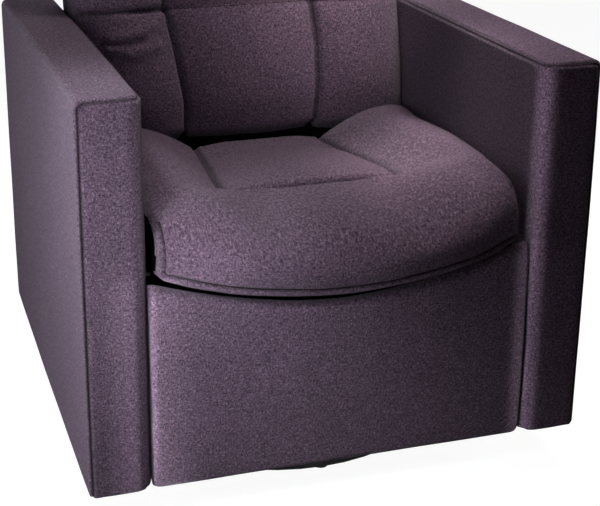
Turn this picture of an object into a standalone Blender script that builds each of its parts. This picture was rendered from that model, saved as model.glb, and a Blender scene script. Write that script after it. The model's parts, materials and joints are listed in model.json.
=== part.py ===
"""Swivel recliner with a push-back action, in metres, +Z up, its front towards -Y.

The origin is on the floor under the swivel pin. The footrest hangs on a double
parallelogram, so it turns about one fixed point that stands clear of the seat's lip.
"""
import math

import bmesh
import bpy
import numpy as np
from mathutils import Vector
from mathutils.geometry import tessellate_polygon

# Whole chair.
WIDTH = 0.760
DEPTH = 0.810
HEIGHT = 1.020
UNDERSIDE = 0.070
FIT = 0.0004

# Arms, flat sided, their tops falling to the rear.
ARM_WIDTH = 0.092
ARM_FRONT_HEIGHT = 0.655
ARM_REAR_HEIGHT = 0.622
ARM_PADDING = 0.012
ARM_EDGE_RADIUS = 0.010
ARM_FRONT_RADII = (0.010, 0.018)
ARM_REAR_RADIUS = 0.030
ARM_FRAME_RAIL = 0.055
SLOT_RADIUS = 0.003
LIP_OVERHANG = 0.035

# Round base and swivel.
RING_RADIUS = 0.276
RING_WIDTH = 0.030
RING_HEIGHT = 0.020
GLIDE_HEIGHT = 0.004
GLIDE_RADIUS = 0.012
CROSS_THICKNESS = 0.005
CROSS_HALF_WIDTH = 0.022
HUB_RADIUS = 0.062
HUB_NECK = 0.040
BEARING_RADIUS = 0.056
BEARING_BALL = 0.0045
BEARING_PLATE = 0.004
LOWER_PLATE_RADIUS = 0.075
UPPER_PLATE_HALF = 0.105
SWIVEL_PIN_RADIUS = 0.008
PIN_HEAD = 0.015
PIN_HEAD_HEIGHT = 0.006
PIN_SLACK = 0.0007

# Steel under the seat.
TUBE = 0.025
TUBE_WALL = 0.002
CROSS_RAIL_Y = 0.085
STEEL = 0.004
LAYER_GAP = 0.0013
PLATE_TO_ARM = 0.0077
BOLT_RADIUS = 0.004
BOLT_HEAD = 0.008
BOLT_HEAD_HEIGHT = 0.004
STANDOFF_RADIUS = 0.010
STANDOFF_RISE = 0.045
PLATE_FRONT_INSET = 0.155
PLATE_FOOT_MARGIN = 0.035
PLATE_REAR_MARGIN = 0.018
PLATE_CHIN = 0.030
PLATE_RADIUS = 0.012
PLATE_EDGE_RADIUS = 0.005
PLATE_BOLT_INSET = 0.025
SEAT_FRAME_GAP = 0.005

# Seat.
SEAT_RAIL_TOP = 0.355
SEAT_RAIL_HEIGHT = 0.050
SEAT_RAIL_WIDTH = 0.022
SEAT_RAIL_INSET = 0.100
SEAT_RAIL_TO_BACK = 0.094
WIRE_RADIUS = 0.0018
SPRING_COUNT = 4
SPRING_SWING = 0.034
SPRING_BENDS = 9
CUSHION_GAP = 0.0035
SEAT_PANEL_INSET = 0.190
SEAT_PANEL_HALF_WIDTHS = (0.138, 0.110)
SEAT_PANEL_HEIGHTS = (0.450, 0.420)
SEAT_PANEL_DOME = 0.006
SEAT_SEAM_SHARE = 0.48
SEAT_SEAM_WIDTH_SHARE = 0.03
SEAT_SEAM_DEPTH = 0.004
SEAT_BOLSTER_HEIGHTS = (0.486, 0.466)
SEAT_BOLSTER_REACH = 0.120
SEAT_CREST_INSET = 0.0465
SEAT_SIDE_FALL = 0.030
SEAT_SIDE_POWER = 2.6
SEAT_ROLL_REACH = 0.019
SEAT_ROLL_RISE = 0.006
SEAT_ROLL_BLEND = 0.050
SEAT_ROLL_SPREAD_SHARE = 0.55
SEAT_ROLL_SETBACK = 0.036
SEAT_REAR_EDGE = 0.022
SEAT_REAR_ROLL = 0.014
SEAT_PINCH = 0.010
LIP_CENTRE_Z = 0.3485
LIP_RISE = 0.0405
LIP_POWER = 1.6
LIP_CORNER_SETBACK = 0.045
LIP_NOSE = 0.036
LIP_BAND = 0.011
LIP_BAND_DEPTHS = (0.006, 0.016)

# Back.
BACK_TILT = math.radians(13.0)
BACK_PIVOT_INSET = 0.213
BACK_PIVOT_Z = 0.345
BACK_BOTTOM = 0.025
BACK_EDGE_DEPTH = 0.084
BACK_SWELL = 0.120
BACK_SWELL_DEPTH = 0.012
BACK_PANEL_CROWN = 0.011
BACK_BOLSTER_CROWN = 0.021
BACK_FOOT_SHARE = 0.35
BACK_SIDE_ROLL = 0.034
BACK_SIDE_POWER = 10
BACK_SHELL_DEPTH = 0.060
BACK_SHELL_WALL = 0.0095
BACK_SHELL_EDGE = 0.014
BACK_SHELL_STEP = 0.008
BACK_LINER = 0.003
BACK_CORNER_RADIUS = 0.060
BACK_CREST = 0.030
BACK_ROLL = 0.050
BACK_SKIRT = 0.055
BACK_SEAM_SHARE = 0.45
BACK_SEAM_WIDTH = 0.020
BACK_SEAM_DEPTHS = (0.010, 0.006)
BACK_SEAM_HEIGHTS = (0.282, 0.470)
BACK_FRAME_RISE = 0.012
BACK_POST = 0.024
BACK_RAIL = 0.050
BRACKET_REACH = 0.200
REAR_PANEL_INSET = 0.115
REAR_PANEL_THICKNESS = 0.018
REAR_PANEL_TOP = 0.345

# Footrest; its insets are measured from the front of the chair.
FOOTREST_INSET = 0.037
FOOTREST_GAP = 0.004
PAD_THICKNESS = 0.034
BOARD_THICKNESS = 0.015
PAD_TOP_CENTRE = 0.324
PAD_RISE = 0.058
PAD_POWER = 1.75
PAD_EDGE_RADIUS = 0.012
PAD_CROWN = 0.003
TURN_CENTRE_INSET = 0.005
TURN_CENTRE_Z = 0.420
UPPER_PIN_INSET = 0.100
UPPER_PIN_Z = 0.335
BRACKET_PITCH = 0.110
FLANGE_WIDTH = 0.022
FLANGE_THICKNESS = 0.003
BRACKET_BULGE = 0.004
BRACKET_RADII = (0.002, 0.003, 0.008, 0.008, 0.002)
DRIVE_PIVOT = (0.060, 0.300)
PIVOT_SHARE = 0.30
LINK_HALF = 0.011
RIVET_RADIUS = 0.005
RIVET_HEAD = 0.008
RIVET_HEAD_HEIGHT = 0.0025
RIVET_SLACK = 0.0007
SYNC_TUBE_RADIUS = 0.008
SYNC_TUBE_SHARE = 0.45

# Counterbalance springs of the back.
COIL_RADIUS = 0.0068
COIL_WIRE = 0.0014
COIL_TURNS = 8
COIL_STEPS = 8
COIL_LEAD = 0.026
COIL_NECK = 0.018
HOOK_POINTS = 6
HOOK_START = 150
HOOK_STEP = 60
SPRING_TAIL = (-0.055, -0.012)
SPRING_ANCHOR_INSET = 0.080
SPRING_ANCHOR_Z = 0.130

ROUND_STEPS = 12
ARC_STEPS = 4
SHARP_RADIUS = 0.002
LINK_LAYERS = 4

# Sizes that follow from the ones above.
ARM_INNER = WIDTH / 2 - ARM_WIDTH
ARM_FRONT = -DEPTH / 2 + LIP_OVERHANG
ARM_REAR = DEPTH / 2
BACK_PIVOT_Y = DEPTH / 2 - BACK_PIVOT_INSET
REAR_PANEL_Y = DEPTH / 2 - REAR_PANEL_INSET
PLATE_FRONT = DEPTH / 2 - PLATE_FRONT_INSET
SEAT_RAIL_FRONT = DEPTH / 2 - SEAT_RAIL_INSET
SEAT_RAIL_REAR = BACK_PIVOT_Y - SEAT_RAIL_TO_BACK
SEAT_PANEL_FRONT = DEPTH / 2 - SEAT_PANEL_INSET
FOOTREST_FACE = DEPTH / 2 - FOOTREST_INSET
TURN_CENTRE = (DEPTH / 2 - TURN_CENTRE_INSET, TURN_CENTRE_Z)
UPPER_PIN = (DEPTH / 2 - UPPER_PIN_INSET, UPPER_PIN_Z)
SPRING_ANCHOR = (BACK_PIVOT_Y - SPRING_ANCHOR_INSET, SPRING_ANCHOR_Z)
PLATE_OUTER = ARM_INNER - PLATE_TO_ARM
SEAT_FRAME_HALF = PLATE_OUTER - LINK_LAYERS * (STEEL + LAYER_GAP) + LAYER_GAP - SEAT_FRAME_GAP
SPRING_SPACING = 2 * (SEAT_FRAME_HALF - SEAT_RAIL_WIDTH) / SPRING_COUNT
SEAT_PLANE = SEAT_RAIL_TOP + 2 * WIRE_RADIUS + 2 * FIT
CUSHION_HALF = ARM_INNER - CUSHION_GAP
RAIL_TOP = UNDERSIDE + TUBE
BACK_RISE = math.hypot(
    BACK_ROLL * math.cos(BACK_TILT),
    (BACK_EDGE_DEPTH + BACK_SWELL_DEPTH + BACK_BOLSTER_CROWN - BACK_CREST) * math.sin(BACK_TILT),
)
BACK_TOP = BACK_ROLL + (
    HEIGHT - BACK_PIVOT_Z - BACK_CREST * math.sin(BACK_TILT) - BACK_RISE
) / math.cos(BACK_TILT)
PAD_BACK = FOOTREST_FACE - PAD_THICKNESS
BOARD_BACK = PAD_BACK - FIT - BOARD_THICKNESS


def clear_scene():
    for item in list(bpy.data.objects):
        bpy.data.objects.remove(item, do_unlink=True)


def make_material(name, colour, roughness, metallic=0.0):
    material = bpy.data.materials.new(name)
    material.use_nodes = True
    shader = material.node_tree.nodes["Principled BSDF"]
    shader.inputs["Base Color"].default_value = (*colour, 1.0)
    shader.inputs["Roughness"].default_value = roughness
    shader.inputs["Metallic"].default_value = metallic
    return material


def smoothstep(low, high, value):
    share = min(max((value - low) / (high - low), 0.0), 1.0)
    return share * share * (3.0 - 2.0 * share)


def mix(ends, share):
    """A value between two ends."""
    return ends[0] + (ends[1] - ends[0]) * share


def both_ways(half):
    """Stations from the left edge to the right one, given those from the middle outwards."""
    return [-share for share in half[:0:-1]] + half


def face_out(mesh, mirrored=False):
    """Turns the faces of a closed mesh outwards, after mirroring it in X if asked."""
    work = bmesh.new()
    work.from_mesh(mesh)
    if mirrored:
        for vertex in work.verts:
            vertex.co.x = -vertex.co.x
    bmesh.ops.recalc_face_normals(work, faces=work.faces)
    if work.calc_volume(signed=True) < 0:
        bmesh.ops.reverse_faces(work, faces=work.faces)
    work.to_mesh(mesh)
    work.free()


def mesh_of(name, points, faces):
    mesh = bpy.data.meshes.new(name)
    mesh.from_pydata([tuple(point) for point in points], [], faces)
    face_out(mesh)
    return mesh


def add_piece(name, mesh, material, pivot=(0.0, 0.0, 0.0), tilt=0.0, smooth=False):
    """Adds a piece drawn about its pivot; the pivot becomes the piece's origin."""
    piece = bpy.data.objects.new(name, mesh)
    bpy.context.collection.objects.link(piece)
    piece.location = pivot
    piece.rotation_euler = (tilt, 0.0, 0.0)
    mesh.materials.append(material)
    if smooth:
        mesh.shade_smooth()
    return piece


def shifted(mesh, pivot):
    """Moves a mesh drawn in the chair's frame so that its pivot is at its origin."""
    for vertex in mesh.vertices:
        vertex.co -= Vector(pivot)
    return mesh


def circle(centre, radius, count=ROUND_STEPS):
    return [
        (
            centre[0] + radius * math.cos(2 * math.pi * k / count),
            centre[1] + radius * math.sin(2 * math.pi * k / count),
        )
        for k in range(count)
    ]


def rounded(corners, radii, steps=ARC_STEPS):
    """Outline of a polygon with an arc of the given radius at each corner."""
    outline = []
    for k, corner in enumerate(corners):
        here = Vector(corner)
        before = (Vector(corners[k - 1]) - here).normalized()
        after = (Vector(corners[(k + 1) % len(corners)]) - here).normalized()
        half = before.angle(after) / 2
        reach = radii[k] / math.tan(half)
        start = here + before * reach
        end = here + after * reach
        middle = here + (before + after).normalized() * (radii[k] / math.sin(half))
        for step in range(steps + 1):
            ray = (start - middle).lerp(end - middle, step / steps)
            outline.append(tuple(middle + ray.normalized() * radii[k]))
    return outline


def bar_edge(chain, half):
    """Left edge of a bar through a chain of pivots, with the round end at the last one."""
    edge = []
    for k in range(1, len(chain)):
        along = (chain[k] - chain[k - 1]).normalized()
        across = Vector((-along.y, along.x))
        if k == 1:
            edge.append(chain[0] + across * half)
        if k == len(chain) - 1:
            for step in range(2 * ARC_STEPS):
                angle = math.pi * step / (2 * ARC_STEPS)
                edge.append(chain[k] + half * (across * math.cos(angle) + along * math.sin(angle)))
            continue
        ahead = (chain[k + 1] - chain[k]).normalized()
        next_across = Vector((-ahead.y, ahead.x))
        if along.x * ahead.y - along.y * ahead.x > 0:
            mitre = (across + next_across).normalized()
            edge.append(chain[k] + mitre * (half / mitre.dot(across)))
        else:
            for step in range(ARC_STEPS + 1):
                ray = across.lerp(next_across, step / ARC_STEPS).normalized()
                edge.append(chain[k] + ray * half)
    return edge


def bar(pivots, half):
    """Outline of a flat bar with round ends through two or more pivots."""
    chain = [Vector(pivot) for pivot in pivots]
    edge = bar_edge(chain, half) + bar_edge(chain[::-1], half)
    return [tuple(point) for point in edge]


def placed(axis, across, up, depth):
    """A point from two outline coordinates and a depth along the named axis."""
    if axis == "X":
        return (depth, across, up)
    if axis == "Y":
        return (across, depth, up)
    return (across, up, depth)


def sheet(name, outline, low, high, axis, holes=(), bosses=(), boss_level=None):
    """A flat piece with holes; each boss is (centre, [(radius, depth), ...]) on one face."""
    points = []
    faces = []
    loops = [list(outline)] + [list(hole) for hole in holes]
    starts = {}
    for level in (low, high):
        for number, loop in enumerate(loops):
            starts[level, number] = len(points)
            points += [placed(axis, *point, level) for point in loop]
    for number, loop in enumerate(loops):
        for k in range(len(loop)):
            after = (k + 1) % len(loop)
            lower = starts[low, number]
            upper = starts[high, number]
            faces.append((lower + k, lower + after, upper + after, upper + k))
    rings = {}
    for number, (centre, profile) in enumerate(bosses):
        for stage, (radius, depth) in enumerate(profile):
            rings[number, stage] = len(points)
            points += [placed(axis, *point, depth) for point in circle(centre, radius)]
            if stage:
                for k in range(ROUND_STEPS):
                    after = (k + 1) % ROUND_STEPS
                    lower = rings[number, stage - 1]
                    upper = rings[number, stage]
                    faces.append((lower + k, lower + after, upper + after, upper + k))
        last = rings[number, len(profile) - 1]
        faces.append(tuple(range(last, last + ROUND_STEPS)))
    for level in (low, high):
        polygons = [[Vector((*point, 0.0)) for point in loop] for loop in loops]
        names = []
        for number, loop in enumerate(loops):
            names += [starts[level, number] + k for k in range(len(loop))]
        if level == boss_level:
            for number, (centre, profile) in enumerate(bosses):
                polygons.append([Vector((*point, 0.0)) for point in circle(centre, profile[0][0])])
                names += [rings[number, 0] + k for k in range(ROUND_STEPS)]
        for triangle in tessellate_polygon(polygons):
            faces.append(tuple(names[k] for k in triangle))
    return mesh_of(name, points, faces)


def box(name, low, high):
    outline = [(low[0], low[1]), (high[0], low[1]), (high[0], high[1]), (low[0], high[1])]
    return sheet(name, outline, low[2], high[2], "Z")


def loft(name, rings):
    """A closed skin through rings of equal count, with both ends filled."""
    count = len(rings[0])
    points = [point for ring in rings for point in ring]
    faces = [tuple(range(count)), tuple(range(len(points) - count, len(points)))]
    for row in range(len(rings) - 1):
        for k in range(count):
            after = (k + 1) % count
            here = row * count
            faces.append((here + k, here + after, here + count + after, here + count + k))
    return mesh_of(name, points, faces)


def turned(name, profile, axis="Z", centre=(0.0, 0.0), count=24, looped=False):
    """A turned piece from (radius, height) pairs; a looped profile leaves a hole through it."""
    points = []
    rings = []
    for radius, height in profile:
        if radius == 0.0:
            rings.append([len(points)])
            points.append(placed(axis, *centre, height))
        else:
            rings.append(list(range(len(points), len(points) + count)))
            points += [placed(axis, *point, height) for point in circle(centre, radius, count)]
    faces = []
    pairs = list(zip(rings, rings[1:]))
    if looped:
        pairs.append((rings[-1], rings[0]))
    for lower, upper in pairs:
        for k in range(count):
            after = (k + 1) % count
            if len(lower) == 1:
                faces.append((lower[0], upper[k], upper[after]))
            elif len(upper) == 1:
                faces.append((lower[k], lower[after], upper[0]))
            else:
                faces.append((lower[k], lower[after], upper[after], upper[k]))
    return mesh_of(name, points, faces)


def stud(name, centre, radius, low, high, head, head_low, head_high):
    """A bolt along X: a shank from low to high with one wider head between two depths."""
    profile = [(0.0, low), (radius, low), (radius, head_low), (head, head_low)]
    if head_high == high:
        profile += [(head, high), (0.0, high)]
    else:
        profile += [(head, head_high), (radius, head_high), (radius, high), (0.0, high)]
    return turned(name, profile, "X", centre, ROUND_STEPS)


def layer(number):
    """Inner and outer depth of one layer of the linkage; layer 0 is the side plate."""
    outer = PLATE_OUTER - number * (STEEL + LAYER_GAP)
    return outer - STEEL, outer


def on_side(side, low, high):
    return tuple(sorted((side * low, side * high)))


def linkage_points():
    """Pivots of the footrest linkage with the footrest closed, as (y, z)."""
    centre = Vector((-TURN_CENTRE[0], TURN_CENTRE[1]))
    upper = Vector((-UPPER_PIN[0], UPPER_PIN[1]))
    drive = Vector((-DRIVE_PIVOT[0], DRIVE_PIVOT[1]))
    crank = upper - centre
    reach = centre - drive
    drop = Vector((0.0, -BRACKET_PITCH))
    rocker = drive + reach * PIVOT_SHARE
    return {
        "drive": drive,
        "rocker": rocker,
        "tail": drive + crank,
        "crossing": rocker + crank,
        "knee": rocker + crank + drop,
        "upper": upper,
        "lower": upper + drop,
        "sync": drive + crank * SYNC_TUBE_SHARE,
    }


def rivet(centre, side, face, beyond):
    """A rivet that leaves a link's inner face, crosses the next layer and ends in a head."""
    head = beyond - FIT
    return (
        tuple(centre),
        [
            (RIVET_RADIUS, side * face),
            (RIVET_RADIUS, side * head),
            (RIVET_HEAD, side * head),
            (RIVET_HEAD, side * (head - RIVET_HEAD_HEIGHT)),
        ],
    )


def clear_of_rivet(centre):
    return circle(centre, RIVET_RADIUS + RIVET_SLACK)


def base_levels():
    """Heights of the base stack from the glides up to the rails."""
    ring = GLIDE_HEIGHT + FIT
    cross = ring + RING_HEIGHT + FIT
    hub = cross + CROSS_THICKNESS + FIT
    upper = UNDERSIDE - FIT - BEARING_PLATE
    ball = upper - FIT - BEARING_BALL
    lower_top = ball - BEARING_BALL - FIT
    return {
        "ring": ring,
        "cross": cross,
        "hub": hub,
        "hub_top": lower_top - BEARING_PLATE - FIT,
        "lower_top": lower_top,
        "ball": ball,
        "upper": upper,
    }


def build_glides(material):
    for number, name in enumerate(("right", "rear", "left", "front")):
        angle = math.pi * number / 2
        reach = RING_RADIUS - RING_WIDTH / 2
        centre = (reach * math.cos(angle), reach * math.sin(angle))
        profile = [
            (0.0, 0.0),
            (GLIDE_RADIUS, 0.0),
            (GLIDE_RADIUS, GLIDE_HEIGHT),
            (0.0, GLIDE_HEIGHT),
        ]
        add_piece("glide_" + name, turned("glide", profile, "Z", centre, 16), material)


def build_ring(material, levels):
    inner = RING_RADIUS - RING_WIDTH
    low = levels["ring"]
    high = low + RING_HEIGHT
    edge = RING_HEIGHT / 5
    profile = [
        (inner, low),
        (RING_RADIUS, low),
        (RING_RADIUS, high - edge),
        (RING_RADIUS - edge, high),
        (inner + edge, high),
        (inner, high - edge),
    ]
    add_piece("floor_ring", turned("floor_ring", profile, count=48, looped=True), material)


def build_cross(material, levels):
    reach = RING_RADIUS - RING_WIDTH / 4
    half = CROSS_HALF_WIDTH
    corners = [
        (half, half), (reach, half), (reach, -half), (half, -half),
        (half, -reach), (-half, -reach), (-half, -half), (-reach, -half),
        (-reach, half), (-half, half), (-half, reach), (half, reach),
    ]
    hole = circle((0.0, 0.0), SWIVEL_PIN_RADIUS + PIN_SLACK)
    low = levels["cross"]
    mesh = sheet("base_cross", corners, low, low + CROSS_THICKNESS, "Z", [hole])
    add_piece("base_cross", mesh, material)


def build_swivel(steel, dark, levels):
    bore = SWIVEL_PIN_RADIUS + PIN_SLACK
    foot = levels["hub"]
    top = levels["hub_top"]
    flange = (top - foot) / 4
    hub = [
        (bore, foot), (HUB_RADIUS, foot), (HUB_RADIUS, foot + flange), (HUB_NECK, foot + 1.5 * flange),
        (HUB_NECK, top - 1.5 * flange), (HUB_RADIUS, top - flange), (HUB_RADIUS, top), (bore, top),
    ]
    add_piece("swivel_hub", turned("swivel_hub", hub, looped=True), dark)
    low = top + FIT
    high = levels["lower_top"]
    plate = [(bore, low), (LOWER_PLATE_RADIUS, low), (LOWER_PLATE_RADIUS, high), (bore, high)]
    add_piece("bearing_lower_plate", turned("bearing_lower_plate", plate, looped=True), steel)
    balls = circle((BEARING_RADIUS, levels["ball"]), BEARING_BALL, 8)
    add_piece("bearing_ball_ring", turned("bearing_ball_ring", balls, looped=True), steel, smooth=True)
    under = levels["cross"] - FIT
    over = UNDERSIDE
    pin = [
        (0.0, under - PIN_HEAD_HEIGHT), (PIN_HEAD, under - PIN_HEAD_HEIGHT), (PIN_HEAD, under),
        (SWIVEL_PIN_RADIUS, under), (SWIVEL_PIN_RADIUS, over), (PIN_HEAD, over),
        (PIN_HEAD, over + PIN_HEAD_HEIGHT), (0.0, over + PIN_HEAD_HEIGHT),
    ]
    add_piece("swivel_pin", turned("swivel_pin", pin, count=16), steel)


def build_upper_plate(material, levels):
    half = UPPER_PLATE_HALF
    corners = [(half, half), (-half, half), (-half, -half), (half, -half)]
    outline = rounded(corners, [half / 8] * 4)
    hole = circle((0.0, 0.0), SWIVEL_PIN_RADIUS + PIN_SLACK)
    low = levels["upper"]
    mesh = sheet("bearing_upper_plate", outline, low, low + BEARING_PLATE, "Z", [hole])
    add_piece("bearing_upper_plate", mesh, material)


def build_cross_rails(material):
    for name, centre in (("front", -CROSS_RAIL_Y), ("rear", CROSS_RAIL_Y)):
        half = TUBE / 2
        bore = half - TUBE_WALL
        middle = UNDERSIDE + half
        loops = []
        for size in (half, bore):
            loops.append([(centre - size, middle - size), (centre + size, middle - size),
                          (centre + size, middle + size), (centre - size, middle + size)])
        reach = ARM_INNER - FIT
        mesh = sheet("cross_rail", loops[0], -reach, reach, "X", [loops[1]])
        add_piece("cross_rail_" + name, mesh, material)


def plate_bolts():
    """Where the side plate holds the seat rails, as (y, z)."""
    height = SEAT_RAIL_TOP - BOLT_RADIUS * 3
    return {
        "front": (-PLATE_FRONT + PLATE_BOLT_INSET, height),
        "rear": (SEAT_RAIL_REAR - SEAT_RAIL_WIDTH / 2, height - SEAT_RAIL_HEIGHT / 3),
    }


def standoff_places():
    height = RAIL_TOP + STANDOFF_RISE
    return {"front": (-CROSS_RAIL_Y, height), "rear": (CROSS_RAIL_Y, height)}


def build_side_plates(material, pivots):
    foot = RAIL_TOP + FIT
    top = SEAT_PLANE - 2 * FIT
    reach = CROSS_RAIL_Y + PLATE_FOOT_MARGIN
    rear = BACK_PIVOT_Y + PLATE_REAR_MARGIN
    chin = BACK_PIVOT_Z - PLATE_CHIN
    corners = [
        (-reach, foot), (SPRING_ANCHOR[0] + PLATE_REAR_MARGIN, foot), (rear, chin), (rear, top),
        (-PLATE_FRONT, top), (-PLATE_FRONT, chin),
    ]
    small = PLATE_EDGE_RADIUS
    outline = rounded(corners, [small, small, PLATE_RADIUS, small, small, PLATE_RADIUS])
    inner, outer = layer(0)
    for name, side in (("left", -1), ("right", 1)):
        low, high = on_side(side, inner, outer)
        bosses = [rivet(pivots[key], side, inner, layer(1)[0]) for key in ("drive", "rocker")]
        peg = [(RIVET_RADIUS, side * inner), (RIVET_RADIUS, side * layer(3)[0])]
        bosses.append((SPRING_ANCHOR, peg))
        holes = [circle(place, BOLT_RADIUS + RIVET_SLACK) for place in plate_bolts().values()]
        holes.append(clear_of_rivet((BACK_PIVOT_Y, BACK_PIVOT_Z)))
        mesh = sheet("side_plate", outline, low, high, "X", holes, bosses, side * inner)
        add_piece("side_plate_" + name, mesh, material)


def build_fasteners(material):
    inner, outer = layer(0)
    for name, side in (("left", -1), ("right", 1)):
        for place, centre in plate_bolts().items():
            low = SEAT_FRAME_HALF + FIT
            head = outer + FIT
            mesh = stud("seat_bolt", centre, BOLT_RADIUS, low, head + BOLT_HEAD_HEIGHT, BOLT_HEAD, head,
                        head + BOLT_HEAD_HEIGHT)
            piece = add_piece("seat_bolt_%s_%s" % (place, name), mesh, material)
            mirror(piece, side)
        for place, centre in standoff_places().items():
            low = outer + FIT
            high = ARM_INNER - FIT
            mesh = stud("arm_standoff", centre, STANDOFF_RADIUS, low, high, STANDOFF_RADIUS, high, high)
            piece = add_piece("arm_standoff_%s_%s" % (place, name), mesh, material)
            mirror(piece, side)
        centre = (BACK_PIVOT_Y, BACK_PIVOT_Z)
        nut = layer(1)[0] - FIT
        head = outer + FIT
        profile = [
            (0.0, nut - RIVET_HEAD_HEIGHT), (RIVET_HEAD, nut - RIVET_HEAD_HEIGHT), (RIVET_HEAD, nut),
            (RIVET_RADIUS, nut), (RIVET_RADIUS, head), (RIVET_HEAD, head),
            (RIVET_HEAD, head + BOLT_HEAD_HEIGHT), (0.0, head + BOLT_HEAD_HEIGHT),
        ]
        piece = add_piece("back_pivot_bolt_" + name, turned("back_bolt", profile, "X", centre, ROUND_STEPS),
                          material)
        mirror(piece, side)


def mirror(piece, side):
    """Turns a piece drawn on the right into its left twin."""
    if side < 0:
        face_out(piece.data, True)


def build_seat_rails(material):
    low = SEAT_RAIL_TOP - SEAT_RAIL_HEIGHT
    half = SEAT_FRAME_HALF
    inside = half - SEAT_RAIL_WIDTH
    front = -SEAT_RAIL_FRONT
    rear = SEAT_RAIL_REAR
    ends = (front + SEAT_RAIL_WIDTH + FIT, rear - SEAT_RAIL_WIDTH - FIT)
    places = {
        "front": ((-half, front, low), (half, front + SEAT_RAIL_WIDTH, SEAT_RAIL_TOP)),
        "rear": ((-half, rear - SEAT_RAIL_WIDTH, low), (half, rear, SEAT_RAIL_TOP)),
        "left": ((-half, ends[0], low), (-inside, ends[1], SEAT_RAIL_TOP)),
        "right": ((inside, ends[0], low), (half, ends[1], SEAT_RAIL_TOP)),
    }
    for name, (corner, opposite) in places.items():
        add_piece("seat_rail_" + name, box("seat_rail", corner, opposite), material)


def wire(name, points, radius, material):
    """An unbroken round wire through points, with closed ends."""
    curve = bpy.data.curves.new(name, "CURVE")
    curve.dimensions = "3D"
    curve.bevel_depth = radius
    curve.bevel_resolution = 1
    curve.use_fill_caps = True
    spline = curve.splines.new("POLY")
    spline.points.add(len(points) - 1)
    for target, point in zip(spline.points, points):
        target.co = (*point, 1.0)
    spline.use_smooth = True
    piece = bpy.data.objects.new(name, curve)
    bpy.context.collection.objects.link(piece)
    curve.materials.append(material)
    return piece


def build_seat_springs(material):
    front = -SEAT_RAIL_FRONT + SEAT_RAIL_WIDTH / 2
    rear = SEAT_RAIL_REAR - SEAT_RAIL_WIDTH / 2
    height = SEAT_RAIL_TOP + FIT + WIRE_RADIUS
    pitch = (rear - front) / SPRING_BENDS
    turn = pitch / 4
    for number in range(SPRING_COUNT):
        centre = (number - (SPRING_COUNT - 1) / 2) * SPRING_SPACING
        points = [(centre, front, height)]
        for bend in range(SPRING_BENDS):
            way = -1 if bend % 2 else 1
            low = front + bend * pitch
            points.append((centre + way * (SPRING_SWING - turn), low + turn / 2, height))
            points.append((centre + way * SPRING_SWING, low + 1.5 * turn, height))
            points.append((centre + way * SPRING_SWING, low + 2.5 * turn, height))
            points.append((centre + way * (SPRING_SWING - turn), low + 3.5 * turn, height))
        points.append((centre, rear, height))
        wire("seat_spring_%d" % (number + 1), points, WIRE_RADIUS, material)


def seat_seam(depth):
    """Half width of the sunk panel, which narrows to the rear."""
    return mix(SEAT_PANEL_HALF_WIDTHS, smoothstep(-SEAT_PANEL_FRONT, SEAT_RAIL_REAR, depth))


def seat_across(share, depth):
    """Distance from the middle; the seams keep one share of the half width."""
    seam = seat_seam(depth)
    size = abs(share)
    across = seam * size / SEAT_SEAM_SHARE
    if size > SEAT_SEAM_SHARE:
        across = mix((seam, CUSHION_HALF), (size - SEAT_SEAM_SHARE) / (1 - SEAT_SEAM_SHARE))
    return math.copysign(across, share)


def seat_height(share, depth):
    """Top of the seat: side bolsters and a front roll round a sunk panel."""
    size = abs(share)
    across = abs(seat_across(share, depth))
    ahead = -SEAT_PANEL_FRONT - depth
    panel = mix(SEAT_PANEL_HEIGHTS, smoothstep(-SEAT_PANEL_FRONT, SEAT_RAIL_REAR, depth))
    panel += SEAT_ROLL_RISE * smoothstep(0.0, SEAT_ROLL_REACH, ahead)
    bolster = mix(SEAT_BOLSTER_HEIGHTS, smoothstep(-SEAT_BOLSTER_REACH, SEAT_RAIL_REAR, depth))
    start = seat_seam(depth) * (1 - SEAT_ROLL_SPREAD_SHARE * smoothstep(0.0, SEAT_ROLL_BLEND, ahead))
    crest = CUSHION_HALF - SEAT_CREST_INSET
    rise = min(max((across - start) / (crest - start), 0.0), 1.0)
    height = mix((panel, bolster), math.sin(math.pi / 2 * rise))
    if size < SEAT_SEAM_SHARE:
        height += SEAT_PANEL_DOME * (1 - (size / SEAT_SEAM_SHARE) ** 2)
    if ahead <= 0.0:
        height -= SEAT_SEAM_DEPTH * math.exp(-(((size - SEAT_SEAM_SHARE) / SEAT_SEAM_WIDTH_SHARE) ** 2))
    side = max(0.0, across - crest) / SEAT_CREST_INSET
    return height - SEAT_SIDE_FALL * side ** SEAT_SIDE_POWER


def seat_lip(size, front, lip, crest, top):
    """The cushion's front from its crest round the nose and under the lip, as (y, z)."""
    nose = lip + LIP_NOSE
    line = []
    for step in range(1, 7):
        angle = math.pi / 2 * step / 6
        line.append((crest + (front - crest) * math.sin(angle), nose + (top - nose) * math.cos(angle)))
    line.append((front + LIP_BAND_DEPTHS[0] / 4, mix((nose, lip + LIP_BAND), 0.5)))
    line.append((front + LIP_BAND_DEPTHS[0], lip + LIP_BAND))
    line.append((front + LIP_BAND_DEPTHS[1], lip))
    under = -SEAT_RAIL_FRONT - SHARP_RADIUS * 2
    pinch = SEAT_PINCH * size ** 9
    line.append((under, lip + SHARP_RADIUS * 2))
    line.append((under, max(SEAT_PLANE, lip) + pinch))
    line.append((under + SHARP_RADIUS * 3, SEAT_PLANE + pinch))
    return line


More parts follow.
